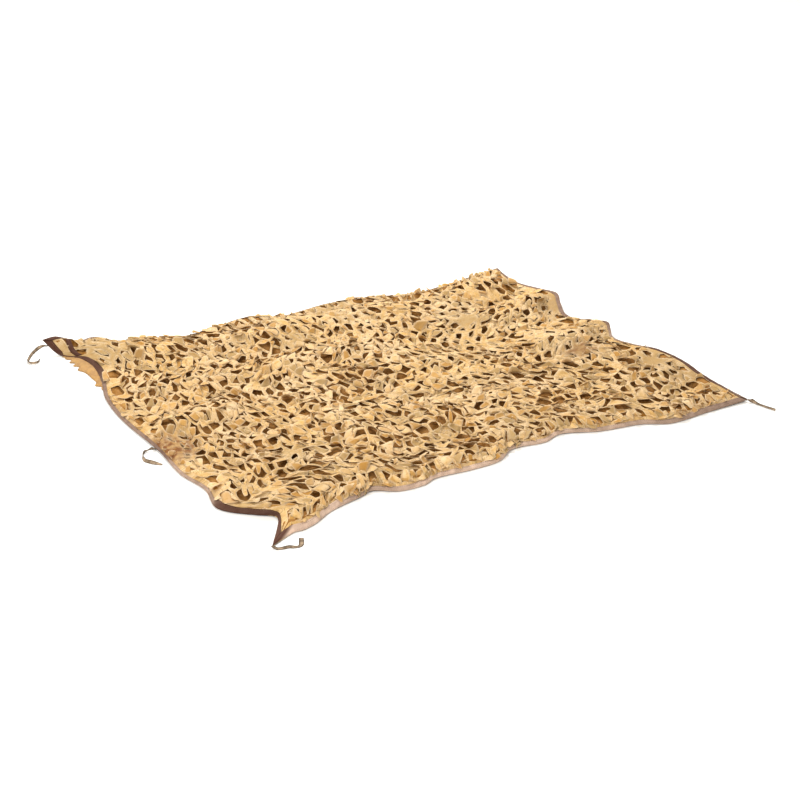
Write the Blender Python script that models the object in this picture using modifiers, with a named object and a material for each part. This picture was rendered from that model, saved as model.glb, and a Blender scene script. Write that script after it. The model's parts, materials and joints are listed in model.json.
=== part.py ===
"""Leaf-cut shade net with bound edges and four tape ties, laid out on level ground."""

import math
import random
from collections import namedtuple

import bmesh
import bpy
from mathutils import Vector

# Finished size of the net before it is laid, and the make-up of its pieces, in metres
NET_LENGTH = 3.0
NET_WIDTH = 2.5
NET_THICKNESS = 0.002
UNDER_THICKNESS = 0.0015
UNDER_INSET = 0.022
UNDER_COLUMNS = 18
UNDER_ROWS = 15
BINDING_WIDTH = 0.036
BINDING_THICKNESS = 0.0015
CONTACT_GAP = 0.0003
MITRE_GAP = 0.0004

# The leaf cuts, drawn at twice the pitch of the real net
GAP_COLUMNS = 20
GAP_ROWS = 13
STRIP_WIDTH = 0.050
GAP_JITTER = 0.013
STRIP_SPREAD = 0.30
UNCUT_SHARE = 0.05
CUT_SEED = 41

# Cuts added to each border edge, so that the hem follows the outline
SIDE_BORDER_CUTS = 2
LONG_BORDER_CUTS = 1

# Raw leaf edge that lies outside the binding near the far left corner
FRINGE_LINE = -1.370
FRINGE_TOOTH = 0.016
FRINGE_VALLEY = 0.004
FRINGE_START = 0.740
FRINGE_END = 0.945

# Pointed tail in which the binding ends at the near corner
CORNER_TAIL_X = -0.088
CORNER_TAIL_Y = -0.098

# How the cloth lies: a rim and the crest behind it fade inwards, the folds and ripples
# fade outwards
RIM_REACH = 0.11
CREST_START = 0.030
CREST_REACH = 0.16
FOLD_MARGIN = 0.14
RIPPLE_HEIGHT = 0.018
RIPPLE_FLOOR = 0.35
UNDER_FOLLOW = 0.35
UNDER_FREE = 0.020
REST_MIDDLE = UNDER_THICKNESS + CONTACT_GAP + 0.5 * NET_THICKNESS

# Half of a whole cell's area tells whole cells from the half ones at the sides
WHOLE_CELL = 0.7 * (NET_LENGTH / GAP_COLUMNS) * (NET_WIDTH / GAP_ROWS)
TOUCH = 1e-5

# Ties of flat woven tape
TIE_WIDTH = 0.016
TIE_THICKNESS = 0.002
TIE_STEP = 0.014
TIE_LEAST_STEPS = 8
TIE_ROOT_REACH = 0.010
TIE_CLEARANCE = 0.0006
FLAT_TILT = 90.0

EdgePoint = namedtuple("EdgePoint", "x y rim crest")
Fold = namedtuple("Fold", "x1 y1 x2 y2 height half_width")
TieRoot = namedtuple("TieRoot", "along across bearing apart")
RoutePoint = namedtuple("RoutePoint", "x y height turn spread")

# Left edge, from the near corner to the far left corner
LEFT_EDGE = (
    EdgePoint(-1.326, -1.236, 0.006, 0.020),
    EdgePoint(-1.290, -1.160, 0.006, 0.026),
    EdgePoint(-1.266, -1.085, 0.006, 0.026),
    EdgePoint(-1.330, -1.025, 0.004, 0.024),
    EdgePoint(-1.430, -0.930, 0.004, 0.024),
    EdgePoint(-1.4668, -0.850, 0.004, 0.022),
    EdgePoint(-1.430, -0.665, 0.004, 0.016),
    EdgePoint(-1.460, -0.450, 0.004, 0.012),
    EdgePoint(-1.443, -0.170, 0.008, 0.016),
    EdgePoint(-1.450, 0.270, 0.004, 0.014),
    EdgePoint(-1.418, 0.550, 0.006, 0.012),
    EdgePoint(-1.350, 0.760, 0.010, 0.010),
    EdgePoint(-1.310, 0.960, 0.010, 0.010),
    EdgePoint(-1.328, 1.105, 0.010, 0.006),
    EdgePoint(-1.404, 1.222, 0.006, 0.010),
    EdgePoint(-1.452, 1.334, 0.062, 0.020),
)

# Front edge, from the near corner to the right corner
FRONT_EDGE = (
    EdgePoint(-1.326, -1.236, 0.006, 0.020),
    EdgePoint(-1.234, -1.265, 0.004, 0.028),
    EdgePoint(-1.141, -1.240, 0.004, 0.030),
    EdgePoint(-1.010, -1.165, 0.004, 0.028),
    EdgePoint(-0.820, -1.110, 0.006, 0.020),
    EdgePoint(-0.745, -1.085, 0.008, 0.014),
    EdgePoint(-0.630, -1.150, 0.004, 0.018),
    EdgePoint(-0.493, -1.155, 0.004, 0.020),
    EdgePoint(-0.410, -1.122, 0.006, 0.014),
    EdgePoint(-0.190, -1.132, 0.004, 0.016),
    EdgePoint(-0.038, -1.118, 0.004, 0.018),
    EdgePoint(0.092, -1.040, 0.006, 0.014),
    EdgePoint(0.275, -1.055, 0.004, 0.012),
    EdgePoint(0.395, -1.018, 0.006, 0.014),
    EdgePoint(0.590, -1.090, 0.004, 0.016),
    EdgePoint(0.812, -1.128, 0.004, 0.018),
    EdgePoint(0.960, -1.198, 0.004, 0.016),
    EdgePoint(1.210, -1.185, 0.004, 0.020),
    EdgePoint(1.464, -1.180, 0.010, 0.004),
)

# Right edge, from the right corner to the back corner
RIGHT_EDGE = (
    EdgePoint(1.464, -1.180, 0.010, 0.004),
    EdgePoint(1.438, -0.870, 0.028, 0.006),
    EdgePoint(1.458, -0.640, 0.032, 0.006),
    EdgePoint(1.430, -0.440, 0.034, 0.004),
    EdgePoint(1.366, -0.310, 0.028, 0.002),
    EdgePoint(1.318, -0.190, 0.034, 0.004),
    EdgePoint(1.355, -0.110, 0.048, 0.006),
    EdgePoint(1.388, -0.030, 0.058, 0.004),
    EdgePoint(1.315, 0.110, 0.038, 0.002),
    EdgePoint(1.285, 0.220, 0.034, 0.000),
    EdgePoint(1.345, 0.370, 0.044, 0.004),
    EdgePoint(1.395, 0.480, 0.056, 0.002),
    EdgePoint(1.365, 0.610, 0.046, 0.002),
    EdgePoint(1.330, 0.800, 0.028, 0.006),
    EdgePoint(1.340, 0.950, 0.026, 0.008),
    EdgePoint(1.362, 1.060, 0.026, 0.006),
)

# Back edge, from the far left corner to the back corner
BACK_EDGE = (
    EdgePoint(-1.452, 1.334, 0.062, 0.020),
    EdgePoint(-1.392, 1.300, 0.082, 0.004),
    EdgePoint(-1.330, 1.284, 0.062, 0.002),
    EdgePoint(-1.262, 1.290, 0.028, 0.002),
    EdgePoint(-1.175, 1.280, 0.040, 0.000),
    EdgePoint(-1.075, 1.200, 0.024, 0.004),
    EdgePoint(-0.960, 1.150, 0.034, 0.006),
    EdgePoint(-0.750, 1.055, 0.028, 0.010),
    EdgePoint(-0.550, 1.080, 0.026, 0.012),
    EdgePoint(-0.340, 1.115, 0.032, 0.014),
    EdgePoint(-0.130, 1.045, 0.026, 0.012),
    EdgePoint(0.180, 1.070, 0.030, 0.014),
    EdgePoint(0.360, 1.035, 0.034, 0.014),
    EdgePoint(0.610, 0.945, 0.034, 0.012),
    EdgePoint(0.810, 0.945, 0.036, 0.010),
    EdgePoint(1.120, 1.000, 0.034, 0.008),
    EdgePoint(1.362, 1.060, 0.026, 0.006),
)

# Main folds, each a ridge between two points of the laid net
FOLDS = (
    Fold(1.34, 0.49, 0.98, 0.38, 0.056, 0.11),
    Fold(1.33, -0.05, 0.93, -0.12, 0.060, 0.10),
    Fold(0.70, 0.62, 1.12, -0.36, 0.034, 0.11),
    Fold(-0.78, 0.86, 0.28, 0.84, 0.040, 0.14),
    Fold(0.44, 0.72, 1.16, 0.82, 0.046, 0.13),
    Fold(-0.95, 0.44, 0.02, 0.38, 0.032, 0.13),
    Fold(-1.40, -0.04, -0.98, 0.06, 0.048, 0.10),
    Fold(-1.24, -1.02, -0.92, -0.82, 0.042, 0.12),
    Fold(-0.72, -1.00, -0.48, -0.58, 0.038, 0.12),
    Fold(0.10, -0.94, 0.34, -0.52, 0.032, 0.12),
    Fold(0.84, -0.88, 1.28, -0.74, 0.034, 0.12),
    Fold(-1.24, 1.10, -0.92, 0.92, 0.036, 0.11),
)

# Where each tie is sewn on, in the flat net, and the way that it leaves the edge
TIE_ROOTS = {
    "tie_far_left": TieRoot(0.0, 2.455, 170.0, 0.0010),
    "tie_left_side": TieRoot(0.0, 1.097, 180.0, 0.0023),
    "tie_near": TieRoot(0.0, 0.0, 275.0, 0.0005),
    "tie_right": TieRoot(NET_LENGTH, 0.0, 300.0, 0.0005),
}

# Routes of the ties past their first straight piece; a turn is in degrees from lying
# flat, and a spread widens the tape where its fold opens
TIE_ROUTES = {
    "tie_far_left": (
        RoutePoint(-1.457, 1.298, 0.040, -25, 0.9),
        RoutePoint(-1.472, 1.300, 0.034, -45, 1.1),
        RoutePoint(-1.492, 1.304, 0.022, -60, 1.4),
        RoutePoint(-1.512, 1.305, 0.010, -60, 1.2),
        RoutePoint(-1.536, 1.292, 0.003, -50, 1.0),
        RoutePoint(-1.560, 1.262, 0.000, -50, 0.9),
        RoutePoint(-1.580, 1.229, 0.000, -50, 0.9),
        RoutePoint(-1.585, 1.204, 0.000, -70, 0.9),
        RoutePoint(-1.571, 1.185, 0.000, -85, 0.9),
        RoutePoint(-1.547, 1.182, 0.000, -80, 0.9),
        RoutePoint(-1.528, 1.198, 0.000, -60, 1.0),
        RoutePoint(-1.516, 1.222, 0.000, -50, 1.0),
    ),
    "tie_left_side": (
        RoutePoint(-1.480, -0.127, 0.002, -120, 0.7),
        RoutePoint(-1.508, -0.138, 0.000, -90, 0.9),
        RoutePoint(-1.536, -0.180, 0.000, -100, 1.0),
        RoutePoint(-1.544, -0.226, 0.000, -130, 1.1),
        RoutePoint(-1.528, -0.258, 0.000, -140, 1.3),
        RoutePoint(-1.506, -0.282, 0.000, -160, 1.2),
        RoutePoint(-1.486, -0.302, 0.000, -180, 0.8),
    ),
    "tie_near": (
        RoutePoint(-1.405, -1.362, 0.002, 20, 0.9),
        RoutePoint(-1.388, -1.372, 0.000, 40, 0.9),
        RoutePoint(-1.352, -1.379, 0.000, 50, 1.0),
        RoutePoint(-1.322, -1.390, 0.000, 20, 0.9),
        RoutePoint(-1.301, -1.389, 0.000, 0, 1.2),
        RoutePoint(-1.286, -1.375, 0.000, 0, 1.5),
        RoutePoint(-1.271, -1.348, 0.000, 0, 1.5),
        RoutePoint(-1.258, -1.322, 0.000, 0, 1.4),
    ),
    "tie_right": (
        RoutePoint(1.478, -1.214, 0.000, 90, 1.6),
        RoutePoint(1.486, -1.246, 0.000, 90, 0.8),
        RoutePoint(1.500, -1.300, 0.000, 90, 0.8),
        RoutePoint(1.516, -1.346, 0.000, 80, 0.8),
    ),
}


def smooth_step(value):
    """Ease from 0 to 1 between the values 0 and 1."""
    value = min(max(value, 0.0), 1.0)
    return value * value * (3.0 - 2.0 * value)


class SmoothRun:
    """Smooth curve through a table's rows, read by the share of its length."""

    def __init__(self, rows):
        self.rows = [Vector(row) for row in rows]
        self.marks = [0.0]
        for first, second in zip(self.rows, self.rows[1:]):
            self.marks.append(self.marks[-1] + (second - first).xyz.length)

    def length(self):
        """Length of the straight runs between the rows."""
        return self.marks[-1]

    def slope(self, index):
        """Direction of the curve at one row, for each metre along it."""
        low = max(index - 1, 0)
        high = min(index + 1, len(self.rows) - 1)
        return (self.rows[high] - self.rows[low]) / (self.marks[high] - self.marks[low])

    def at(self, share):
        """Point of the curve at a share of its length."""
        mark = min(max(share, 0.0), 1.0) * self.marks[-1]
        index = 0
        while index < len(self.rows) - 2 and mark > self.marks[index + 1]:
            index += 1
        span = self.marks[index + 1] - self.marks[index]
        step = (mark - self.marks[index]) / span
        square = step * step
        cube = square * step
        start_weight = 2.0 * cube - 3.0 * square + 1.0
        leave_weight = cube - 2.0 * square + step
        arrive_weight = cube - square
        return (self.rows[index] * start_weight
                + self.rows[index + 1] * (1.0 - start_weight)
                + self.slope(index) * (span * leave_weight)
                + self.slope(index + 1) * (span * arrive_weight))


LEFT_RUN = SmoothRun(LEFT_EDGE)
FRONT_RUN = SmoothRun(FRONT_EDGE)
RIGHT_RUN = SmoothRun(RIGHT_EDGE)
BACK_RUN = SmoothRun(BACK_EDGE)


def fold_height(x, y):
    """Height of the folds over a point of the laid net."""
    total = 0.0
    place = Vector((x, y))
    for fold in FOLDS:
        start = Vector((fold.x1, fold.y1))
        run = Vector((fold.x2, fold.y2)) - start
        share = min(max((place - start).dot(run) / run.length_squared, 0.0), 1.0)
        away = (place - start - run * share).length
        total += fold.height * math.exp(-(away / fold.half_width) ** 2)
    return total


def ripple_height(x, y):
    """Low uneven waves between the folds, level where they touch the ground."""
    long_wave = math.sin(7.3 * x + 3.1 * y + 0.4) * math.sin(2.6 * x - 6.7 * y + 1.1)
    short_wave = math.sin(13.1 * x - 4.2 * y) * math.sin(5.3 * x + 11.9 * y + 2.0)
    wave = 0.5 + 0.32 * long_wave + 0.26 * short_wave
    return RIPPLE_HEIGHT * max(wave - RIPPLE_FLOOR, 0.0) / (1.0 - RIPPLE_FLOOR)


def edge_height(point, inside):
    """Height that an edge gives the cloth at a distance inside it."""
    inside = max(inside, 0.0)
    rim = point.z * math.exp(-(inside / RIM_REACH) ** 2)
    crest = 1.0 - math.exp(-(inside / CREST_START) ** 2)
    return rim + point.w * crest * math.exp(-(inside / CREST_REACH) ** 2)


def laid_point(along, across):
    """Where a point of the flat net lies, with its height over the resting cloth."""
    share_x = along / NET_LENGTH
    share_y = across / NET_WIDTH
    left = LEFT_RUN.at(share_y)
    right = RIGHT_RUN.at(share_y)
    front = FRONT_RUN.at(share_x)
    back = BACK_RUN.at(share_x)
    near_corners = LEFT_RUN.at(0.0) * (1.0 - share_x) + RIGHT_RUN.at(0.0) * share_x
    far_corners = LEFT_RUN.at(1.0) * (1.0 - share_x) + RIGHT_RUN.at(1.0) * share_x
    place = (left * (1.0 - share_x) + right * share_x
             + front * (1.0 - share_y) + back * share_y
             - near_corners * (1.0 - share_y) - far_corners * share_y)
    to_right = NET_LENGTH - along
    to_back = NET_WIDTH - across
    lift = (edge_height(left, along) + edge_height(right, to_right)
            + edge_height(front, across) + edge_height(back, to_back)
            - edge_height(LEFT_RUN.at(0.0), math.hypot(along, across))
            - edge_height(RIGHT_RUN.at(0.0), math.hypot(to_right, across))
            - edge_height(LEFT_RUN.at(1.0), math.hypot(along, to_back))
            - edge_height(RIGHT_RUN.at(1.0), math.hypot(to_right, to_back)))
    share_inside = smooth_step(min(along, to_right, across, to_back) / FOLD_MARGIN)
    folds = fold_height(place.x, place.y) * share_inside
    ripple = ripple_height(place.x, place.y) * share_inside
    return Vector((place.x, place.y, max(lift, folds, 0.0) + ripple))


def net_middle(along, across):
    """Middle of the upper cloth's thickness, clear of the cloth under it."""
    place = laid_point(along, across)
    place.z += REST_MIDDLE
    return place


def under_bottom(along, across):
    """Underside of the lower cloth, which rises only where the upper one stands high."""
    place = laid_point(along, across)
    place.z = UNDER_FOLLOW * max(place.z - UNDER_FREE, 0.0)
    return place


def clear_scene():
    """Remove what the scene holds."""
    for old in list(bpy.data.objects):
        bpy.data.objects.remove(old, do_unlink=True)


def make_collection(name):
    """Collection for the net's pieces, linked into the scene."""
    group = bpy.data.collections.new(name)
    bpy.context.scene.collection.children.link(group)
    return group


def make_material(name, colour, roughness):
    """Plain cloth finish."""
    material = bpy.data.materials.new(name)
    material.use_nodes = True
    shader = material.node_tree.nodes["Principled BSDF"]
    shader.inputs["Base Color"].default_value = (*colour, 1.0)
    shader.inputs["Roughness"].default_value = roughness
    shader.inputs["Metallic"].default_value = 0.0
    return material


def finish_sheet(name, mesh_data, material, thickness, offset, group):
    """Turn an open surface into a named piece with a real thickness."""
    mesh = bpy.data.meshes.new(name)
    mesh_data.normal_update()
    mesh_data.to_mesh(mesh)
    mesh_data.free()
    piece = bpy.data.objects.new(name, mesh)
    group.objects.link(piece)
    mesh.materials.append(material)
    solidify = piece.modifiers.new("cloth thickness", "SOLIDIFY")
    solidify.thickness = thickness
    solidify.offset = offset
    return piece


def border_edges(sheet):
    """Edges on the rim of the sheet, without the rims of the gaps."""
    left = min(corner.co.x for corner in sheet.verts)
    right = max(corner.co.x for corner in sheet.verts)
    front = min(corner.co.y for corner in sheet.verts)
    back = max(corner.co.y for corner in sheet.verts)
    sides = {"left": [], "right": [], "front": [], "back": []}
    for edge in sheet.edges:
        first, second = (corner.co for corner in edge.verts)
        if max(first.x, second.x) < left + TOUCH:
            sides["left"].append(edge)
        elif min(first.x, second.x) > right - TOUCH:
            sides["right"].append(edge)
        elif max(first.y, second.y) < front + TOUCH:
            sides["front"].append(edge)
        elif min(first.y, second.y) > back - TOUCH:
            sides["back"].append(edge)
    return sides


def draw_leaf_cells(sheet):
    """Divide the flat cloth inside the hem into staggered six-sided cells."""
    columns = 2 * GAP_COLUMNS
    bmesh.ops.create_grid(sheet, x_segments=columns, y_segments=GAP_ROWS, size=0.5)
    step_x = (NET_LENGTH - 2.0 * BINDING_WIDTH) / columns
    step_y = (NET_WIDTH - 2.0 * BINDING_WIDTH) / GAP_ROWS
    steps = {corner: (round((corner.co.x + 0.5) * columns),
                      round((corner.co.y + 0.5) * GAP_ROWS)) for corner in sheet.verts}
    spare = []
    for edge in sheet.edges:
        (first_x, first_y), (second_x, second_y) = (steps[corner] for corner in edge.verts)
        if first_x == second_x and 0 < first_x < columns:
            if (first_x + min(first_y, second_y)) % 2:
                spare.append(edge)
    shuffle = random.Random(CUT_SEED)
    for corner, (column, row) in steps.items():
        corner.co.x = BINDING_WIDTH + column * step_x
        corner.co.y = BINDING_WIDTH + row * step_y
        if 0 < column < columns and 0 < row < GAP_ROWS:
            zigzag = 1.0 if (column + row) % 2 == 0 else -1.0
            corner.co.y += zigzag * step_y / 6.0
            corner.co.x += shuffle.uniform(-GAP_JITTER, GAP_JITTER)
            corner.co.y += shuffle.uniform(-GAP_JITTER, GAP_JITTER)
    bmesh.ops.dissolve_edges(sheet, edges=spare, use_verts=False)
    sides = border_edges(sheet)
    bmesh.ops.subdivide_edges(
        sheet, edges=sides["left"] + sides["right"], cuts=SIDE_BORDER_CUTS)
    bmesh.ops.subdivide_edges(
        sheet, edges=sides["front"] + sides["back"], cuts=LONG_BORDER_CUTS)
    return shuffle


def cut_gaps(sheet, shuffle):
    """Cut a gap through each whole cell, and leave a few cells closed."""
    for cell in [face for face in sheet.faces if face.calc_area() > WHOLE_CELL]:
        if shuffle.random() < UNCUT_SHARE:
            continue
        strip = 0.5 * STRIP_WIDTH * (1.0 + shuffle.uniform(-STRIP_SPREAD, STRIP_SPREAD))
        bmesh.ops.inset_individual(sheet, faces=[cell], thickness=strip)
        bmesh.ops.delete(sheet, geom=[cell], context="FACES")


def add_hem(sheet):
    """Grow the hem that carries the binding, and mark its faces side by side."""
    side_mark = sheet.faces.layers.int.new("hem side")
    rim = [edge for edges in border_edges(sheet).values() for edge in edges]
    grown = bmesh.ops.extrude_edge_only(sheet, edges=rim)["geom"]
    for corner in [item for item in grown if isinstance(item, bmesh.types.BMVert)]:
        if corner.co.x < BINDING_WIDTH + TOUCH:
            corner.co.x = 0.0
        elif corner.co.x > NET_LENGTH - BINDING_WIDTH - TOUCH:
            corner.co.x = NET_LENGTH
        if corner.co.y < BINDING_WIDTH + TOUCH:
            corner.co.y = 0.0
        elif corner.co.y > NET_WIDTH - BINDING_WIDTH - TOUCH:
            corner.co.y = NET_WIDTH
    for face in [item for item in grown if isinstance(item, bmesh.types.BMFace)]:
        middle = face.calc_center_median()
        reaches = (middle.x, NET_LENGTH - middle.x, middle.y, NET_WIDTH - middle.y)
        face[side_mark] = 1 + reaches.index(min(reaches))


def add_fringe(sheet):
    """Let the raw leaf edge run out past the hem near the far left corner."""
    first = FRINGE_START * NET_WIDTH
    last = FRINGE_END * NET_WIDTH
    run = [edge for edge in border_edges(sheet)["left"]
           if all(first < corner.co.y < last for corner in edge.verts)]
    grown = bmesh.ops.extrude_edge_only(sheet, edges=run)["geom"]
    side_mark = sheet.faces.layers.int["hem side"]
    for face in [item for item in grown if isinstance(item, bmesh.types.BMFace)]:
        face[side_mark] = 0
    tips = sorted((item for item in grown if isinstance(item, bmesh.types.BMVert)),
                  key=lambda corner: corner.co.y)
    for index, tip in enumerate(tips):
        if 0 < index < len(tips) - 1:
            tip.co.x -= FRINGE_TOOTH if index % 2 else FRINGE_VALLEY
    bmesh.ops.remove_doubles(sheet, verts=sheet.verts[:], dist=TOUCH)


def fringe_or_net(along, across):
    """Place a point of the upper cloth, also past the hem, where it drops to the ground."""
    if along == 0.0 and across == 0.0:
        return net_middle(0.0, 0.0) + Vector((CORNER_TAIL_X, CORNER_TAIL_Y, 0.0))
    if along >= 0.0:
        return net_middle(along, across)
    hem = net_middle(0.0, across)
    return Vector((min(hem.x, FRINGE_LINE) + along, hem.y, REST_MIDDLE))


def on_mitre(flat):
    """Whether a point of the flat hem lies on the line where two bindings meet."""
    inside_x = min(flat.x, NET_LENGTH - flat.x)
    inside_y = min(flat.y, NET_WIDTH - flat.y)
    in_hem = -TOUCH < inside_x < BINDING_WIDTH + TOUCH
    return int(in_hem and abs(inside_x - inside_y) < TOUCH)


def build_net_sheet():
    """Surface of the upper cloth, cut, hemmed and laid in its folds."""
    sheet = bmesh.new()
    shuffle = draw_leaf_cells(sheet)
    cut_gaps(sheet, shuffle)
    add_hem(sheet)
    add_fringe(sheet)
    bmesh.ops.triangulate(sheet, faces=sheet.faces[:])
    mitre_mark = sheet.verts.layers.int.new("on a mitre")
    for corner in sheet.verts:
        flat = corner.co.copy()
        corner[mitre_mark] = on_mitre(flat)
        corner.co = fringe_or_net(flat.x, flat.y)
    sheet.normal_update()
    return sheet


def build_binding(name, side, sheet, material, group):
    """Tape laid on one side's hem, with mitred ends a little apart."""
    tape = sheet.copy()
    side_mark = tape.faces.layers.int["hem side"]
    mitre_mark = tape.verts.layers.int["on a mitre"]
    tape.normal_update()
    stand_off = 0.5 * NET_THICKNESS + CONTACT_GAP
    lifted = [corner.co + corner.normal * stand_off for corner in tape.verts]
    for corner, place in zip(tape.verts, lifted):
        corner.co = place
    spare = [face for face in tape.faces if face[side_mark] != side]
    bmesh.ops.delete(tape, geom=spare, context="FACES")
    for corner in [corner for corner in tape.verts if corner[mitre_mark]]:
        rims = [edge.other_vert(corner) for edge in corner.link_edges if edge.is_boundary]
        along = next(other for other in rims if not other[mitre_mark])
        corner.co += (along.co - corner.co).normalized() * MITRE_GAP
    return finish_sheet(name, tape, material, BINDING_THICKNESS, 1.0, group)


def build_under_cloth(material, group):
    """Brown lower cloth, seen through the gaps of the upper one."""
    sheet = bmesh.new()
    bmesh.ops.create_grid(sheet, x_segments=UNDER_COLUMNS, y_segments=UNDER_ROWS, size=0.5)
    rim = [edge for edges in border_edges(sheet).values() for edge in edges]
    bmesh.ops.subdivide_edges(sheet, edges=rim, cuts=1)
    for corner in sheet.verts:
        corner.co.x = UNDER_INSET + (corner.co.x + 0.5) * (NET_LENGTH - 2.0 * UNDER_INSET)
        corner.co.y = UNDER_INSET + (corner.co.y + 0.5) * (NET_WIDTH - 2.0 * UNDER_INSET)
    bmesh.ops.triangulate(sheet, faces=sheet.faces[:])
    for corner in sheet.verts:
        corner.co = under_bottom(corner.co.x, corner.co.y)
    return finish_sheet("under_cloth", sheet, material, UNDER_THICKNESS, 1.0, group)


def tie_start(root):
    """First two points of a tie, straight out from where it is sewn on."""
    spot = fringe_or_net(root.along, root.across)
    spot.z = max(spot.z - 0.5 * TIE_THICKNESS - TIE_CLEARANCE, 0.0)
    bearing = math.radians(root.bearing)
    outward = Vector((math.cos(bearing), math.sin(bearing), 0.0))
    first = spot + outward * root.apart
    second = spot + outward * TIE_ROOT_REACH
    return [RoutePoint(*first, 0, 1.0), RoutePoint(*second, 0, 1.0)]


def build_tie(name, material, group):
    """Flat tape that leaves the edge, drops to the ground and lies there, part twisted."""
    route = tie_start(TIE_ROOTS[name]) + list(TIE_ROUTES[name])
    run = SmoothRun([point[:3] for point in route])
    turns = SmoothRun([(point.turn, point.spread, 0.0) for point in route])
    turns.marks = run.marks
    steps = max(round(run.length() / TIE_STEP), TIE_LEAST_STEPS)
    curve = bpy.data.curves.new(name, "CURVE")
    curve.dimensions = "3D"
    curve.twist_mode = "Z_UP"
    curve.extrude = 0.5 * (TIE_WIDTH - TIE_THICKNESS)
    curve.bevel_depth = 0.5 * TIE_THICKNESS
    curve.bevel_resolution = 2
    curve.use_fill_caps = True
    spline = curve.splines.new("POLY")
    spline.points.add(steps)
    for index, point in enumerate(spline.points):
        share = index / steps
        place = run.at(share)
        turn, spread = turns.at(share).xy
        turn = math.radians(turn)
        stand = spread * (abs(math.sin(turn)) * curve.extrude + curve.bevel_depth)
        point.co = (place.x, place.y, max(place.z, 0.0) + stand + TIE_CLEARANCE, 1.0)
        point.radius = spread
        point.tilt = math.radians(FLAT_TILT) + turn
    tie = bpy.data.objects.new(name, curve)
    group.objects.link(tie)
    curve.materials.append(material)
    return tie


def build_net():
    """Make every piece of the net."""
    clear_scene()
    group = make_collection("shade net")
    sand = make_material("sand leaf-cut cloth", (0.67, 0.50, 0.27), 0.85)
    brown = make_material("brown under cloth", (0.10, 0.055, 0.035), 0.9)
    tape = make_material("brown binding tape", (0.14, 0.075, 0.05), 0.8)
    tie_tape = make_material("tie tape", (0.22, 0.14, 0.09), 0.8)
    sheet = build_net_sheet()
    for side, name in enumerate(("binding_left", "binding_right",
                                 "binding_front", "binding_back"), start=1):
        build_binding(name, side, sheet, tape, group)
    finish_sheet("net_cloth", sheet, sand, NET_THICKNESS, 0.0, group)
    build_under_cloth(brown, group)
    for name in TIE_ROUTES:
        build_tie(name, tie_tape, group)


build_net()
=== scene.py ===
"""Leaf-cut shade net, spread loosely over level ground, with taped edges and four tape ties."""

import json
import math
from collections import namedtuple

import bmesh
import bpy
import numpy
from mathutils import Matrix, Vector

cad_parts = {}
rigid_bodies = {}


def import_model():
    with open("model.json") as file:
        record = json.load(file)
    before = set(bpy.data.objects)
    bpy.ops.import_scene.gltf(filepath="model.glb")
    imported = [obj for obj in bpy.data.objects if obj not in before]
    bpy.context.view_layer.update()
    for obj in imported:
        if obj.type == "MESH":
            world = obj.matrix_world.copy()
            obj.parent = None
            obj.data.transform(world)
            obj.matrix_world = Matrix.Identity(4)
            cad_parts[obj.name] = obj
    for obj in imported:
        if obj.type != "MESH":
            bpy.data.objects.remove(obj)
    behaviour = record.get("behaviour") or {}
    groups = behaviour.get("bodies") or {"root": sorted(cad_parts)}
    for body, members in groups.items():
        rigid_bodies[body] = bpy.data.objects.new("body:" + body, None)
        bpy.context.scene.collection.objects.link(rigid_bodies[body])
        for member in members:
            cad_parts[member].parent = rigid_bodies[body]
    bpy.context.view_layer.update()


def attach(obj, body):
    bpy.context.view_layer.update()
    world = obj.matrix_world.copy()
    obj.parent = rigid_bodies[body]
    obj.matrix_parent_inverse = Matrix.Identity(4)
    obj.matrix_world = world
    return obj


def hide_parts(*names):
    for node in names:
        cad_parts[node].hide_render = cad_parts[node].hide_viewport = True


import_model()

# The view. The net lies on level ground and is seen past its near corner, from above a
# standing person's height, through a long lens that takes in both of its short sides.
CAMERA_PLACE = (-5.293, -9.036, 4.66)
CAMERA_DIP = 24.5
CAMERA_TURN = -30.6
CAMERA_LENS = 96.4
CAMERA_SENSOR = 36.0
CAMERA_SIGHT = 200.0


def put_in(name, data):
    """Put a mesh, lamp or camera into the scene."""
    thing = bpy.data.objects.new(name, data)
    bpy.context.scene.collection.objects.link(thing)
    return thing


camera_data = bpy.data.cameras.new("camera")
camera_data.lens = CAMERA_LENS
camera_data.sensor_width = CAMERA_SENSOR
camera_data.clip_end = CAMERA_SIGHT
camera = put_in("camera", camera_data)
camera.location = CAMERA_PLACE
camera.rotation_euler = (math.radians(90.0 - CAMERA_DIP), 0.0, math.radians(CAMERA_TURN))
bpy.context.scene.camera = camera
bpy.context.scene.view_settings.view_transform = "Standard"


# Ties. Four short lengths of folded woven tape, sewn to the edge at three corners and part
# way along the left side. They are limp, leave the edge, drop to the ground and lie there,
# partly on edge.
TIE_WIDTH = 0.016
TIE_THICKNESS = 0.0018
TIE_CLEARANCE = 0.0006
TIE_STEP = 0.004
TIE_PATH_STEPS = 3
TIE_FOLD = 0.60
TIE_DARK = (0.045, 0.030, 0.019, 1.0)
TIE_PALE = (0.60, 0.44, 0.30, 1.0)
CLOTH_GLOSS = 0.10

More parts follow.
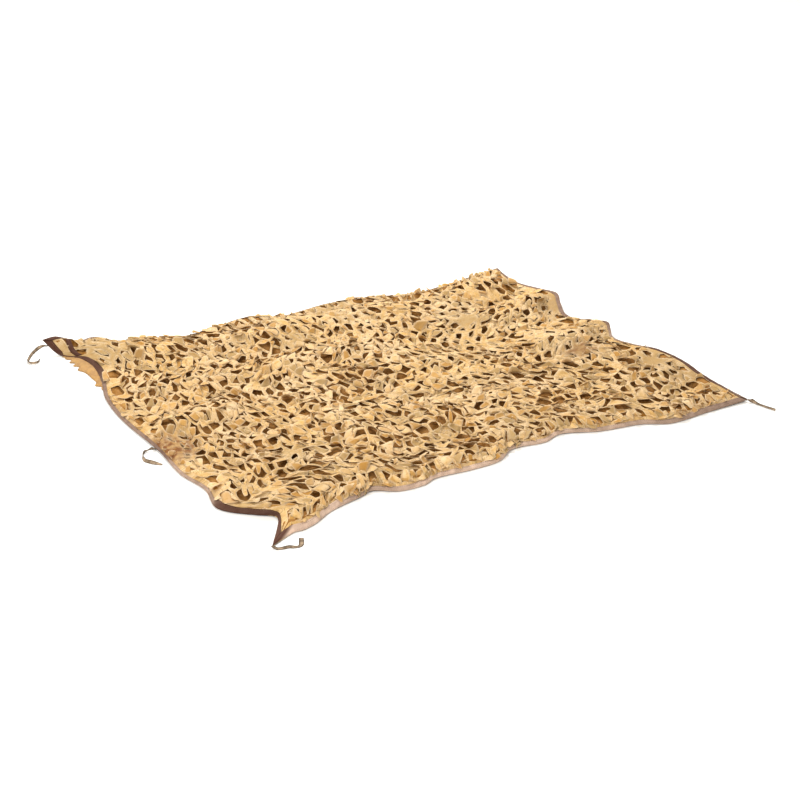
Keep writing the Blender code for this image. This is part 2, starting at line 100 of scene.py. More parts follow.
# Each tie's middle line as it lies, from its sewn end on, with the turn of the tape about
# that line, in degrees, and how far it has spread out of its folded width
RoutePoint = namedtuple("RoutePoint", "x y height turn spread")
TIE_ROUTES = {
    "tie_far_left": (
        (-1.4365, 1.2932, 0.0401, 0, 1.0), (-1.4453, 1.2947, 0.0401, 0, 1.0),
        (-1.457, 1.298, 0.040, -25, 0.9), (-1.472, 1.300, 0.034, -45, 1.1),
        (-1.492, 1.304, 0.022, -60, 1.4), (-1.512, 1.305, 0.010, -60, 1.2),
        (-1.536, 1.292, 0.003, -50, 1.0), (-1.560, 1.262, 0.000, -50, 0.9),
        (-1.580, 1.229, 0.000, -50, 0.9), (-1.585, 1.204, 0.000, -70, 0.9),
        (-1.571, 1.185, 0.000, -85, 0.9), (-1.547, 1.182, 0.000, -80, 0.9),
        (-1.528, 1.198, 0.000, -60, 1.0), (-1.516, 1.222, 0.000, -50, 1.0),
    ),
    "tie_left_side": (
        (-1.4451, -0.1353, 0.0091, 0, 1.0), (-1.4528, -0.1353, 0.0091, 0, 1.0),
        (-1.480, -0.127, 0.002, -120, 0.7), (-1.508, -0.138, 0.000, -90, 0.9),
        (-1.536, -0.180, 0.000, -100, 1.0), (-1.544, -0.226, 0.000, -130, 1.1),
        (-1.528, -0.258, 0.000, -140, 1.3), (-1.506, -0.282, 0.000, -160, 1.2),
        (-1.486, -0.302, 0.000, -180, 0.8),
    ),
    "tie_near": (
        (-1.4140, -1.3345, 0.0072, 0, 1.0), (-1.4132, -1.3440, 0.0072, 0, 1.0),
        (-1.405, -1.362, 0.002, 20, 0.9), (-1.388, -1.372, 0.000, 40, 0.9),
        (-1.352, -1.379, 0.000, 50, 1.0), (-1.322, -1.390, 0.000, 20, 0.9),
        (-1.301, -1.389, 0.000, 0, 1.2), (-1.286, -1.375, 0.000, 0, 1.5),
        (-1.271, -1.348, 0.000, 0, 1.5), (-1.258, -1.322, 0.000, 0, 1.4),
    ),
    "tie_right": (
        (1.4642, -1.1804, 0.0112, 0, 1.0), (1.469, -1.1887, 0.0112, 0, 1.0),
        (1.478, -1.214, 0.000, 90, 1.4), (1.486, -1.246, 0.000, 90, 0.8),
        (1.500, -1.300, 0.000, 90, 0.8), (1.516, -1.346, 0.000, 80, 0.8),
    ),
}


class Feed:
    """One output in a finish's node tree, on which plain sums add Math nodes."""

    def __init__(self, finish, socket):
        self.finish = finish
        self.socket = socket

    def sum_of(self, operation, first, second=0.0):
        settings = {"operation": operation}
        return self.finish.add("ShaderNodeMath", settings, {0: first, 1: second})

    def __add__(self, other):
        return self.sum_of("ADD", self, other)

    def __radd__(self, other):
        return self.sum_of("ADD", other, self)

    def __sub__(self, other):
        return self.sum_of("SUBTRACT", self, other)

    def __rsub__(self, other):
        return self.sum_of("SUBTRACT", other, self)

    def __mul__(self, other):
        return self.sum_of("MULTIPLY", self, other)

    def __rmul__(self, other):
        return self.sum_of("MULTIPLY", other, self)

    def sine(self):
        return self.sum_of("SINE", self)


class Finish:
    """A cloth's material, read in metres along and across the flat cloth."""

    def __init__(self, name):
        self.material = bpy.data.materials.new(name)
        self.material.use_nodes = True
        self.tree = self.material.node_tree
        self.shader = self.tree.nodes["Principled BSDF"]
        self.flat = self.add("ShaderNodeUVMap", {"uv_map": "flat"})

    def feed(self, socket, value):
        if isinstance(value, Feed):
            self.tree.links.new(value.socket, socket)
        else:
            socket.default_value = value

    def add(self, kind, settings=(), values=(), output=0):
        node = self.tree.nodes.new(kind)
        for setting, value in dict(settings).items():
            setattr(node, setting, value)
        for socket, value in dict(values).items():
            self.feed(node.inputs[socket], value)
        return Feed(self, node.outputs[output])

    def mottle(self, scale, detail=2.0, shift=0.0):
        """Uneven cloudy value, so many clouds to the metre."""
        moved = self.add("ShaderNodeVectorMath", {"operation": "ADD"},
                         {0: self.flat, 1: (shift, shift, shift)})
        return self.add("ShaderNodeTexNoise", {"noise_dimensions": "3D"},
                        {"Vector": moved, "Scale": scale, "Detail": detail})

    def stepped(self, value, low, high):
        """0 below a value, 1 above another, and smooth between them."""
        return self.add("ShaderNodeMapRange", {"interpolation_type": "SMOOTHSTEP"},
                        {"Value": value, "From Min": low, "From Max": high})

    def clouds(self, scale, low, high, detail=3.0, shift=0.0):
        """Soft-edged clouds, so many to the metre: 1 inside them and 0 between them."""
        return self.stepped(self.mottle(scale, detail, shift), low, high)

    def layered(self, colour, *layers):
        """A colour with others laid over it in turn, each by its share."""
        for share, over in layers:
            colour = self.add("ShaderNodeMix", {"data_type": "RGBA"},
                              {0: share, 6: colour, 7: over}, output=2)
        return colour

    def marked(self, name):
        """A value that the piece's own points carry."""
        return self.add("ShaderNodeAttribute", {"attribute_name": name}, output=2)

    def place(self):
        """How far along and across the flat cloth a point is."""
        along = self.add("ShaderNodeSeparateXYZ", values={0: self.flat})
        return along, Feed(self, along.socket.node.outputs[1])

    def middle(self, width):
        """0 at the two folded edges of a tape this wide, and 1 along the middle of a face."""
        wave = (self.place()[1] * (2.0 * math.pi / width)).sine()
        return wave * wave

    def threads(self, pitch, slant=0.0):
        """Crossing threads of a plain weave, or the ribs of a slanted twill."""
        along, across = self.place()
        turns = 2.0 * math.pi / pitch
        if slant:
            return ((along + across * slant) * turns).sine()
        return (along * turns).sine() * (across * turns).sine()

    def finished(self, colour, roughness, height, depth):
        """Join the finish's colour, roughness and surface relief to the shader."""
        normal = self.add("ShaderNodeBump", values={"Height": height, "Distance": depth})
        self.feed(self.shader.inputs["Base Color"], colour)
        self.feed(self.shader.inputs["Roughness"], roughness)
        self.feed(self.shader.inputs["Normal"], normal)
        self.shader.inputs["Specular IOR Level"].default_value = CLOTH_GLOSS
        return self.material


class SmoothRun:
    """Smooth curve through a table's rows, read by shares of its length."""

    def __init__(self, rows, marks=None):
        self.rows = numpy.array(rows, float)
        steps = numpy.linalg.norm(numpy.diff(self.rows[:, :3], axis=0), axis=1)
        self.marks = numpy.concatenate(([0.0], numpy.cumsum(steps))) if marks is None else marks
        order = numpy.arange(len(rows))
        low = numpy.maximum(order - 1, 0)
        high = numpy.minimum(order + 1, len(rows) - 1)
        spans = (self.marks[high] - self.marks[low])[:, None]
        self.slopes = (self.rows[high] - self.rows[low]) / spans

    def at(self, share):
        """Points of the curve at shares of its length."""
        mark = numpy.clip(share, 0.0, 1.0) * self.marks[-1]
        index = numpy.searchsorted(self.marks, mark) - 1
        index = numpy.clip(index, 0, len(self.rows) - 2)
        span = self.marks[index + 1] - self.marks[index]
        step = ((mark - self.marks[index]) / span)[:, None]
        start_weight = 2.0 * step ** 3 - 3.0 * step ** 2 + 1.0
        leave_weight = (step ** 3 - 2.0 * step ** 2 + step) * span[:, None]
        arrive_weight = (step ** 3 - step ** 2) * span[:, None]
        return (self.rows[index] * start_weight
                + self.rows[index + 1] * (1.0 - start_weight)
                + self.slopes[index] * leave_weight
                + self.slopes[index + 1] * arrive_weight)


def new_piece(name, mesh, material):
    """Put a finished mesh into the scene as a piece that rides on the part's one body."""
    piece = put_in(name, mesh)
    mesh.materials.clear()
    mesh.materials.append(material)
    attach(piece, "root")
    return piece


def to_mesh(shell, name):
    """Turn a built shell into a mesh."""
    mesh = bpy.data.meshes.new(name)
    shell.to_mesh(mesh)
    shell.free()
    return mesh


def strip_mesh(rows, flat_rows):
    """Closed tape from rows of points, each with its place on the flat tape."""
    shell = bmesh.new()
    flat_layer = shell.loops.layers.uv.new("flat")
    corners = [[shell.verts.new(point) for point in row] for row in rows]
    around = len(corners[0])
    for step in range(len(corners) - 1):
        for index in range(around):
            after = (index + 1) % around
            spots = ((step, index), (step, after), (step + 1, after), (step + 1, index))
            face = shell.faces.new([corners[row][place] for row, place in spots])
            face.smooth = True
            for loop, (row, place) in zip(face.loops, spots):
                along, across = flat_rows[row][place]
                if after == 0 and place == 0:
                    across = flat_rows[row][-1][1] + (flat_rows[row][1][1] - across)
                loop[flat_layer].uv = (along, across)
    for row in (0, len(corners) - 1):
        face = shell.faces.new(corners[row])
        for loop in face.loops:
            loop[flat_layer].uv = flat_rows[row][0]
    bmesh.ops.recalc_face_normals(shell, faces=shell.faces[:])
    return to_mesh(shell, "folded tape")


tie_finish = Finish("folded tie tape")
tie_wear = tie_finish.clouds(34.0, 0.35, 0.7)
tie_ribs = tie_finish.threads(0.0024, 0.6)
# Painted light and shade: the tape is paler along the middle of each face and darker towards its
# folded edges
tie_lit_middle = tie_finish.stepped(tie_finish.middle(TIE_WIDTH), 0.42, 0.98)
tie_colour = tie_finish.layered(
    TIE_DARK, (tie_lit_middle * (tie_wear * 0.60 + 0.18), TIE_PALE),
    ((tie_ribs * 0.5 + 0.5) * 0.10, TIE_PALE))
tie_cloth = tie_finish.finished(tie_colour, tie_wear * 0.12 + 0.76, tie_ribs, 0.0003)

# A folded tape's section, with rounded, slightly thicker folds: each corner's place across,
# in half widths, and up, in thicknesses
TIE_SECTION = (
    (-1.00, 0.0), (-0.97, 0.55), (-0.80, TIE_FOLD), (-0.30, 0.42), (0.30, 0.42),
    (0.80, TIE_FOLD), (0.97, 0.55), (1.00, 0.0), (0.97, -0.55), (0.80, -TIE_FOLD),
    (0.0, -0.50), (-0.80, -TIE_FOLD), (-0.97, -0.55),
)
for tie_name, table in TIE_ROUTES.items():
    route = [RoutePoint(*row) for row in table]
    run = SmoothRun([point[:3] for point in route])
    turns = SmoothRun([(point.turn, point.spread, 0.0) for point in route], run.marks)
    tie_length = float(run.marks[-1])
    count = TIE_PATH_STEPS * round(tie_length / (TIE_PATH_STEPS * TIE_STEP))
    shares = numpy.linspace(0.0, 1.0, count + 1)
    centres, twists = run.at(shares), turns.at(shares)
    rows, flat_rows = [], []
    for index, share in enumerate(shares):
        turn = math.radians(twists[index][0])
        half = 0.5 * TIE_WIDTH * twists[index][1]
        stand = abs(math.sin(turn)) * half + TIE_FOLD * TIE_THICKNESS
        centre = Vector(centres[index])
        centre.z = max(centre.z, 0.0) + stand + TIE_CLEARANCE
        centres[index] = centre
        ahead = centres[min(index + 1, count)] - centres[max(index - 1, 0)]
        ahead = Vector((ahead[0], ahead[1], 0.0)).normalized()
        level = Vector((-ahead.y, ahead.x, 0.0))
        side = level * math.cos(turn) + Vector((0.0, 0.0, math.sin(turn)))
        up = side.cross(ahead) * -1.0
        rows.append([centre + side * (out * half) + up * (rise * TIE_THICKNESS)
                     for out, rise in TIE_SECTION])
        flat_rows.append([(share * tie_length, TIE_WIDTH * place / len(TIE_SECTION))
                          for place in range(len(TIE_SECTION))])
    tie = new_piece(tie_name + "_tape", strip_mesh(rows, flat_rows), tie_cloth)
    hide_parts(tie_name)
    line = [tuple(centre) for centre in centres[::TIE_PATH_STEPS]]
    spans = zip(line, line[1:])
    tie_length = sum((Vector(after) - Vector(before)).length for before, after in spans)


# The net. One sheet of sand-coloured cloth, three metres by two and a half, slit in offset
# rows of leaf cuts and pulled open, so that six-sided gaps stand between narrow strips. It
# was dropped and pulled out by its corners: its edges wander and folds run in from them.
NET_LENGTH = 3.0
NET_WIDTH = 2.5
NET_THICKNESS = 0.0012
GAP_COLUMNS = 40
GAP_ROWS = 26
GAP_CORNERS = 6
SIDE_CUTS = 2
GAP_DRIFT = 0.012
GAP_JITTER = 0.0130
SIDE_JITTER = 0.0030
STRIP_WIDTHS = (0.013, 0.015, 0.017, 0.019, 0.022, 0.026, 0.032, 0.048)
CORNER_ROUNDING = 0.22
STRIP_CURL = 0.0065
STRIP_WAVE = 0.0030
STRIP_SHADE = (0.0, 0.7)
TIGHT_WIDTHS = 4
WHOLE_CELL = 0.7
SHUT_MIDDLE = 0.12
PATCH_FADE = 1.6
CUT_SEED = 41
TOUCH = 1e-5
SLOPE_STEP = 0.004
BINDING_WIDTH = 0.036
HEM_LINES = (0.024, 0.012, 0.0)
HEM_DROP = -0.0008
MANY_SIDES = 8
REST_MIDDLE = 0.0028
LOWEST_MIDDLE = 0.0045
SOFT_TOP = 0.082
SOFT_REACH = 0.018
RIM_REACH = 0.11
CREST_START = 0.030
CREST_REACH = 0.16
FOLD_MARGIN = 0.14
RIPPLE_HEIGHT = 0.018
RIPPLE_FLOOR = 0.35
TAIL = (-0.088, -0.098)
TAIL_BASE = (0.073, 0.098)
TAIL_POINT = 1.2
CREST_POINT = 1.5
CREAM = (0.86, 0.67, 0.44, 1.0)
SAND = (0.71, 0.44, 0.155, 1.0)
OCHRE = (0.46, 0.225, 0.045, 1.0)
GREYISH = (0.43, 0.285, 0.125, 1.0)
BROWN_AND_SHADE = (0.22, 0.090, 0.034, 1.0)
Fold = namedtuple("Fold", "x1 y1 x2 y2 height half_width")

# Each edge as it lies, from its near or left end on: x, y, the height of the rim there, and
# of the crest just inside it
LEFT_EDGE = SmoothRun((
    (-1.326, -1.236, 0.006, 0.020), (-1.290, -1.160, 0.006, 0.026), (-1.266, -1.085, 0.006, 0.026),
    (-1.330, -1.025, 0.004, 0.024), (-1.430, -0.930, 0.004, 0.024), (-1.4668, -0.850, 0.004, 0.022),
    (-1.430, -0.665, 0.004, 0.016), (-1.460, -0.450, 0.004, 0.012), (-1.443, -0.170, 0.008, 0.016),
    (-1.450, 0.270, 0.004, 0.014), (-1.418, 0.550, 0.006, 0.012), (-1.350, 0.760, 0.010, 0.010),
    (-1.310, 0.960, 0.010, 0.010), (-1.328, 1.105, 0.010, 0.006), (-1.404, 1.222, 0.006, 0.010),
    (-1.452, 1.334, 0.062, 0.020),
))
FRONT_EDGE = SmoothRun((
    (-1.326, -1.236, 0.006, 0.020), (-1.234, -1.265, 0.004, 0.028), (-1.141, -1.240, 0.004, 0.030),
    (-1.010, -1.165, 0.004, 0.028), (-0.820, -1.110, 0.006, 0.020), (-0.745, -1.085, 0.008, 0.014),
    (-0.630, -1.150, 0.004, 0.018), (-0.493, -1.155, 0.004, 0.020), (-0.410, -1.122, 0.006, 0.014),
    (-0.190, -1.132, 0.004, 0.016), (-0.038, -1.118, 0.004, 0.018), (0.092, -1.040, 0.006, 0.014),
    (0.275, -1.055, 0.004, 0.012), (0.395, -1.018, 0.006, 0.014), (0.590, -1.090, 0.004, 0.016),
    (0.812, -1.128, 0.004, 0.018), (0.960, -1.198, 0.004, 0.016), (1.210, -1.185, 0.004, 0.020),
    (1.464, -1.180, 0.010, 0.004),
))
RIGHT_EDGE = SmoothRun((
    (1.464, -1.180, 0.010, 0.004), (1.438, -0.870, 0.028, 0.006), (1.458, -0.640, 0.032, 0.006),
    (1.430, -0.440, 0.034, 0.004), (1.366, -0.310, 0.028, 0.002), (1.318, -0.190, 0.034, 0.004),
    (1.355, -0.110, 0.048, 0.006), (1.388, -0.030, 0.058, 0.004), (1.315, 0.110, 0.038, 0.002),
    (1.285, 0.220, 0.034, 0.000), (1.345, 0.370, 0.044, 0.004), (1.395, 0.480, 0.056, 0.002),
    (1.365, 0.610, 0.046, 0.002), (1.330, 0.800, 0.028, 0.006), (1.340, 0.950, 0.026, 0.008),
    (1.362, 1.060, 0.026, 0.006),
))
BACK_EDGE = SmoothRun((
    (-1.452, 1.334, 0.062, 0.020), (-1.392, 1.300, 0.082, 0.004), (-1.330, 1.284, 0.062, 0.002),
    (-1.262, 1.290, 0.028, 0.002), (-1.175, 1.280, 0.040, 0.000), (-1.075, 1.200, 0.024, 0.004),
    (-0.960, 1.150, 0.034, 0.006), (-0.750, 1.055, 0.028, 0.010), (-0.550, 1.080, 0.026, 0.012),
    (-0.340, 1.115, 0.032, 0.014), (-0.130, 1.045, 0.026, 0.012), (0.180, 1.070, 0.030, 0.014),
    (0.360, 1.035, 0.034, 0.014), (0.610, 0.945, 0.034, 0.012), (0.810, 0.945, 0.036, 0.010),
    (1.120, 1.000, 0.034, 0.008), (1.362, 1.060, 0.026, 0.006),
))
FOLDS = (
    Fold(1.34, 0.49, 0.98, 0.38, 0.056, 0.11), Fold(1.33, -0.05, 0.93, -0.12, 0.060, 0.10),
    Fold(0.70, 0.62, 1.12, -0.36, 0.034, 0.11), Fold(-0.78, 0.86, 0.28, 0.84, 0.040, 0.14),
    Fold(0.44, 0.72, 1.16, 0.82, 0.046, 0.13), Fold(-0.95, 0.44, 0.02, 0.38, 0.032, 0.13),
    Fold(-1.40, -0.04, -0.98, 0.06, 0.048, 0.10), Fold(-1.24, -1.02, -0.92, -0.82, 0.042, 0.12),
    Fold(-0.72, -1.00, -0.48, -0.58, 0.038, 0.12), Fold(0.10, -0.94, 0.34, -0.52, 0.032, 0.12),
    Fold(0.84, -0.88, 1.28, -0.74, 0.034, 0.12), Fold(-1.24, 1.10, -0.92, 0.92, 0.036, 0.11),
)

# Creases that the leaf cuts pull into the cloth between its folds
CREASE_MARGIN = 0.09
CREASES = (
    Fold(0.32, 0.62, 0.78, 0.18, 0.014, 0.030), Fold(0.46, 0.68, 0.92, 0.24, 0.012, 0.026),
    Fold(-1.16, 0.86, -0.66, 0.58, 0.012, 0.034), Fold(-0.62, 0.66, -0.10, 0.70, 0.012, 0.030),
    Fold(-0.30, 0.16, 0.36, 0.02, 0.012, 0.036), Fold(-1.20, -0.44, -0.70, -0.30, 0.014, 0.034),
    Fold(-1.24, -0.66, -0.84, -0.62, 0.012, 0.028), Fold(-1.06, -1.06, -0.80, -0.92, 0.016, 0.028),
    Fold(-0.34, -0.90, -0.14, -0.60, 0.014, 0.030), Fold(0.52, -0.96, 0.66, -0.62, 0.014, 0.030),
    Fold(0.86, 0.10, 1.24, -0.30, 0.012, 0.030), Fold(0.98, 0.62, 1.20, 0.42, 0.014, 0.028),
    Fold(-1.26, 1.22, -1.04, 1.02, 0.014, 0.026), Fold(1.00, -0.62, 1.34, -0.46, 0.012, 0.030),
)
NET_LIFT = 0.007
WAVE_SEED = 7
WAVES_EACH = 4
Wave = namedtuple("Wave", "length height")
WAVES = (Wave(0.34, 0.0045), Wave(0.19, 0.0040), Wave(0.105, 0.0030), Wave(0.062, 0.0020))


def smooth_step(value):
    """Ease from 0 to 1 between the values 0 and 1."""
    value = numpy.clip(value, 0.0, 1.0)
    return value * value * (3.0 - 2.0 * value)


def ridges(table, x, y):
    """Height of a table's ridges over points of the laid net."""
    total = numpy.zeros(len(x))
    for fold in table:
        run_x, run_y = fold.x2 - fold.x1, fold.y2 - fold.y1
        reach = run_x * run_x + run_y * run_y
        share = numpy.clip(((x - fold.x1) * run_x + (y - fold.y1) * run_y) / reach, 0.0, 1.0)
        away = numpy.hypot(x - fold.x1 - share * run_x, y - fold.y1 - share * run_y)
        total += fold.height * numpy.exp(-(away / fold.half_width) ** 2)
    return total


def ripples(x, y):
    """Low uneven waves between the folds."""
    long_wave = numpy.sin(7.3 * x + 3.1 * y + 0.4) * numpy.sin(2.6 * x - 6.7 * y + 1.1)
    short_wave = numpy.sin(13.1 * x - 4.2 * y) * numpy.sin(5.3 * x + 11.9 * y + 2.0)
    wave = 0.5 + 0.32 * long_wave + 0.26 * short_wave
    return RIPPLE_HEIGHT * numpy.maximum(wave - RIPPLE_FLOOR, 0.0) / (1.0 - RIPPLE_FLOOR)


def crumples(x, y):
    """Fine crumpling: sharp-topped waves that run in every direction."""
    chance = numpy.random.default_rng(WAVE_SEED)
    total = numpy.zeros(len(x))
    for wave in WAVES:
        for way, start in chance.uniform(0.0, 2.0 * math.pi, (WAVES_EACH, 2)):
            along = (x * math.cos(way) + y * math.sin(way)) * math.pi / wave.length
            total += wave.height * (1.0 - numpy.abs(numpy.sin(along + start))) ** CREST_POINT
    return total


def edge_height(rows, inside):
    """Height that an edge gives the cloth at a distance inside it."""
    inside = numpy.maximum(inside, 0.0)
    rim = rows[:, 2] * numpy.exp(-(inside / RIM_REACH) ** 2)
    crest = 1.0 - numpy.exp(-(inside / CREST_START) ** 2)
    return rim + rows[:, 3] * crest * numpy.exp(-(inside / CREST_REACH) ** 2)


def laid_plan(along, across):
    """Place and height, from the edges and folds alone, of points of the flat net."""
    share_x, share_y = along / NET_LENGTH, across / NET_WIDTH
    left, right = LEFT_EDGE.at(share_y), RIGHT_EDGE.at(share_y)
    front, back = FRONT_EDGE.at(share_x), BACK_EDGE.at(share_x)
    wide, deep = share_x[:, None], share_y[:, None]
    corners = [run.rows[place][None, :] for run in (LEFT_EDGE, RIGHT_EDGE) for place in (0, -1)]
    plan = (left * (1.0 - wide) + right * wide + front * (1.0 - deep) + back * deep
            - corners[0] * (1.0 - wide) * (1.0 - deep) - corners[1] * (1.0 - wide) * deep
            - corners[2] * wide * (1.0 - deep) - corners[3] * wide * deep)
    x, y = plan[:, :2].T
    to_right, to_back = NET_LENGTH - along, NET_WIDTH - across
    lift = (edge_height(left, along) + edge_height(right, to_right)
            + edge_height(front, across) + edge_height(back, to_back)
            - edge_height(corners[0], numpy.hypot(along, across))
            - edge_height(corners[1], numpy.hypot(along, to_back))
            - edge_height(corners[2], numpy.hypot(to_right, across))
            - edge_height(corners[3], numpy.hypot(to_right, to_back)))
    inside = numpy.minimum(numpy.minimum(along, to_right), numpy.minimum(across, to_back))
    height = numpy.maximum(lift, ridges(FOLDS, x, y) * smooth_step(inside / FOLD_MARGIN))
    height = numpy.maximum(height, 0.0) + ripples(x, y) * smooth_step(inside / FOLD_MARGIN)
    tail = numpy.clip(1.0 - numpy.maximum(along, 0.0) / TAIL_BASE[0]
                      - numpy.maximum(across, 0.0) / TAIL_BASE[1], 0.0, 1.0) ** TAIL_POINT
    return x + tail * TAIL[0], y + tail * TAIL[1], height, inside


def net_surface(along, across):
    """Where points of the flat net lie."""
    x, y, height, inside = laid_plan(along, across)
    loose = NET_LIFT + ridges(CREASES, x, y) + crumples(x, y)
    height = REST_MIDDLE + height + loose * smooth_step(inside / CREASE_MARGIN)
    return numpy.stack((x, y, height), axis=1)


def points_of(mesh):
    """A mesh's points, a row for each."""
    points = numpy.zeros(len(mesh.vertices) * 3)
    mesh.vertices.foreach_get("co", points)
    return points.reshape(-1, 3)


def lay_down(mesh, surface, lowest):
    """Bend a flat mesh, in metres along, across and up, to the way the cloth lies."""
    flat = points_of(mesh)
    corner_of = numpy.zeros(len(mesh.loops), int)
    mesh.loops.foreach_get("vertex_index", corner_of)
    for old in list(mesh.uv_layers):
        mesh.uv_layers.remove(old)
    layer = mesh.uv_layers.new(name="flat")
    layer.data.foreach_set("uv", flat[corner_of, :2].astype(numpy.float32).ravel())
    along, across, up = flat.T
    way_x = surface(along + SLOPE_STEP, across) - surface(along - SLOPE_STEP, across)
    way_y = surface(along, across + SLOPE_STEP) - surface(along, across - SLOPE_STEP)
    normal = numpy.cross(way_x, way_y)
    normal /= numpy.linalg.norm(normal, axis=1)[:, None]
    place = surface(along, across) + normal * up[:, None]
    over = numpy.maximum(place[:, 2] - SOFT_TOP, 0.0)
    place[:, 2] += SOFT_REACH * (1.0 - numpy.exp(-over / SOFT_REACH)) - over
    place[:, 2] = numpy.maximum(place[:, 2], lowest)
    mesh.vertices.foreach_set("co", place.ravel())
    mesh.update()


def made_plain(helper):
    """What a helper's modifiers make, as a plain mesh, with the helper itself removed."""
    shown = helper.evaluated_get(bpy.context.evaluated_depsgraph_get())
    mesh = bpy.data.meshes.new_from_object(shown)
    bpy.data.objects.remove(helper, do_unlink=True)
    return mesh


def thickened(mesh, thickness):
    """Give a sheet its two faces and its rim."""
    helper = put_in("sheet being made", mesh)
    wall = helper.modifiers.new("cloth thickness", "SOLIDIFY")
    wall.thickness = thickness
    wall.offset = 0.0
    closed = made_plain(helper)
    closed.polygons.foreach_set("use_smooth", [True] * len(closed.polygons))
    return closed


net_finish = Finish("sand leaf-cut cloth")
net_patch = net_finish.clouds(3.2, 0.40, 0.62)
net_grey = net_finish.clouds(5.0, 0.52, 0.66, shift=5.0)
net_cloud = net_finish.clouds(24.0, 0.35, 0.65, shift=2.0)
net_ochre_spots = net_finish.clouds(55.0, 0.52, 0.72, detail=2.0, shift=6.0)
net_fleck = net_finish.mottle(160.0, 2.0, 9.0)
net_shade = net_finish.marked("shade")
net_edge_highlight = net_finish.marked("edge")
net_other = net_finish.add("ShaderNodeMath", {"operation": "FRACT"}, {0: net_shade * 13.7})
net_colour = net_finish.layered(
    SAND,
    (net_patch * 0.4 + net_cloud * 0.4, CREAM),
    (net_finish.stepped(net_shade, 0.35, 0.95) * 0.9, OCHRE),
    (net_finish.stepped(net_other, 0.66, 0.80) * 0.85, GREYISH),
    (net_grey * 0.45, GREYISH),
    (net_finish.marked("grey") * 0.8, GREYISH),
    # Painted shade: dark brown in the patches' shade under folds; on the raw rim the same brown
    # darkens its own colour
    (net_finish.marked("worn") * (net_cloud * 0.75 + 0.3), BROWN_AND_SHADE),
    # Small ochre spots scattered at random over the cloth
    (net_ochre_spots * 0.45, OCHRE),
    # Painted highlight: cream towards the cut edges of the strips and leaves
    (net_edge_highlight * net_edge_highlight * 0.70, CREAM),
    (net_finish.stepped(net_fleck, 0.55, 0.75) * 0.25, OCHRE))
net_cloth = net_finish.finished(
    net_colour, net_cloud * 0.1 + 0.8, net_finish.threads(0.0022) + net_fleck * 1.2, 0.0004)

# Round patches, as places in the flat net: where the cuts hardly opened, how much greyer the
# cloth is there, and how much painted shade browns it, most under the hump on the right and
# under the fold by the left tie
Patch = namedtuple("Patch", "along across reach grey worn")
CLOSED_PATCHES = (
    Patch(0.08, 2.24, 0.17, 0.9, 0.0), Patch(0.24, 2.40, 0.12, 0.8, 0.0),
    Patch(2.93, 1.76, 0.12, 1.0, 0.2), Patch(2.30, 1.86, 0.11, 0.9, 0.0),
    Patch(2.46, 2.14, 0.07, 0.6, 0.0), Patch(2.34, 2.22, 0.06, 0.6, 0.0),
    Patch(2.90, 1.22, 0.10, 0.6, 0.2), Patch(2.70, 1.04, 0.09, 0.9, 0.7),
    Patch(2.83, 0.66, 0.12, 1.0, 0.1), Patch(2.90, 0.40, 0.10, 1.0, 0.2),
    Patch(0.07, 1.04, 0.13, 0.2, 1.0), Patch(1.22, 1.98, 0.09, 0.6, 0.0),
    Patch(0.95, 2.16, 0.08, 0.6, 0.0), Patch(0.55, 0.62, 0.09, 0.5, 0.0),
    Patch(1.35, 0.42, 0.08, 0.6, 0.0), Patch(1.95, 0.90, 0.07, 0.4, 0.0),
    Patch(0.30, 1.34, 0.08, 0.5, 0.0), Patch(1.74, 2.42, 0.12, 0.8, 0.0),
)

# Wider regions of the flat net where the cuts opened less than elsewhere
Region = namedtuple("Region", "along across reach")
TIGHT_REGIONS = (
    Region(1.75, 2.15, 0.42), Region(2.25, 1.95, 0.45), Region(2.55, 1.45, 0.36),
    Region(1.40, 2.40, 0.22), Region(2.80, 2.20, 0.28), Region(1.95, 1.45, 0.30),
)


def mark_points(mesh, name, values):
    """Give each of a mesh's points a value, under the name that a finish reads it by."""
    mesh.attributes.new(name, "FLOAT", "POINT").data.foreach_set("value", values)


def mark_patches(mesh):
    """Give a flat mesh's points the patches' greyness and painted shade."""
    flat = points_of(mesh)
    grey, worn = numpy.zeros(len(flat)), numpy.zeros(len(flat))
    for patch in CLOSED_PATCHES:
        away = numpy.hypot(flat[:, 0] - patch.along, flat[:, 1] - patch.across)
        near = smooth_step(PATCH_FADE - away / patch.reach)
        grey = numpy.maximum(grey, near * patch.grey)
        worn = numpy.maximum(worn, near * patch.worn)
    mark_points(mesh, "grey", grey)
    mark_points(mesh, "worn", worn)


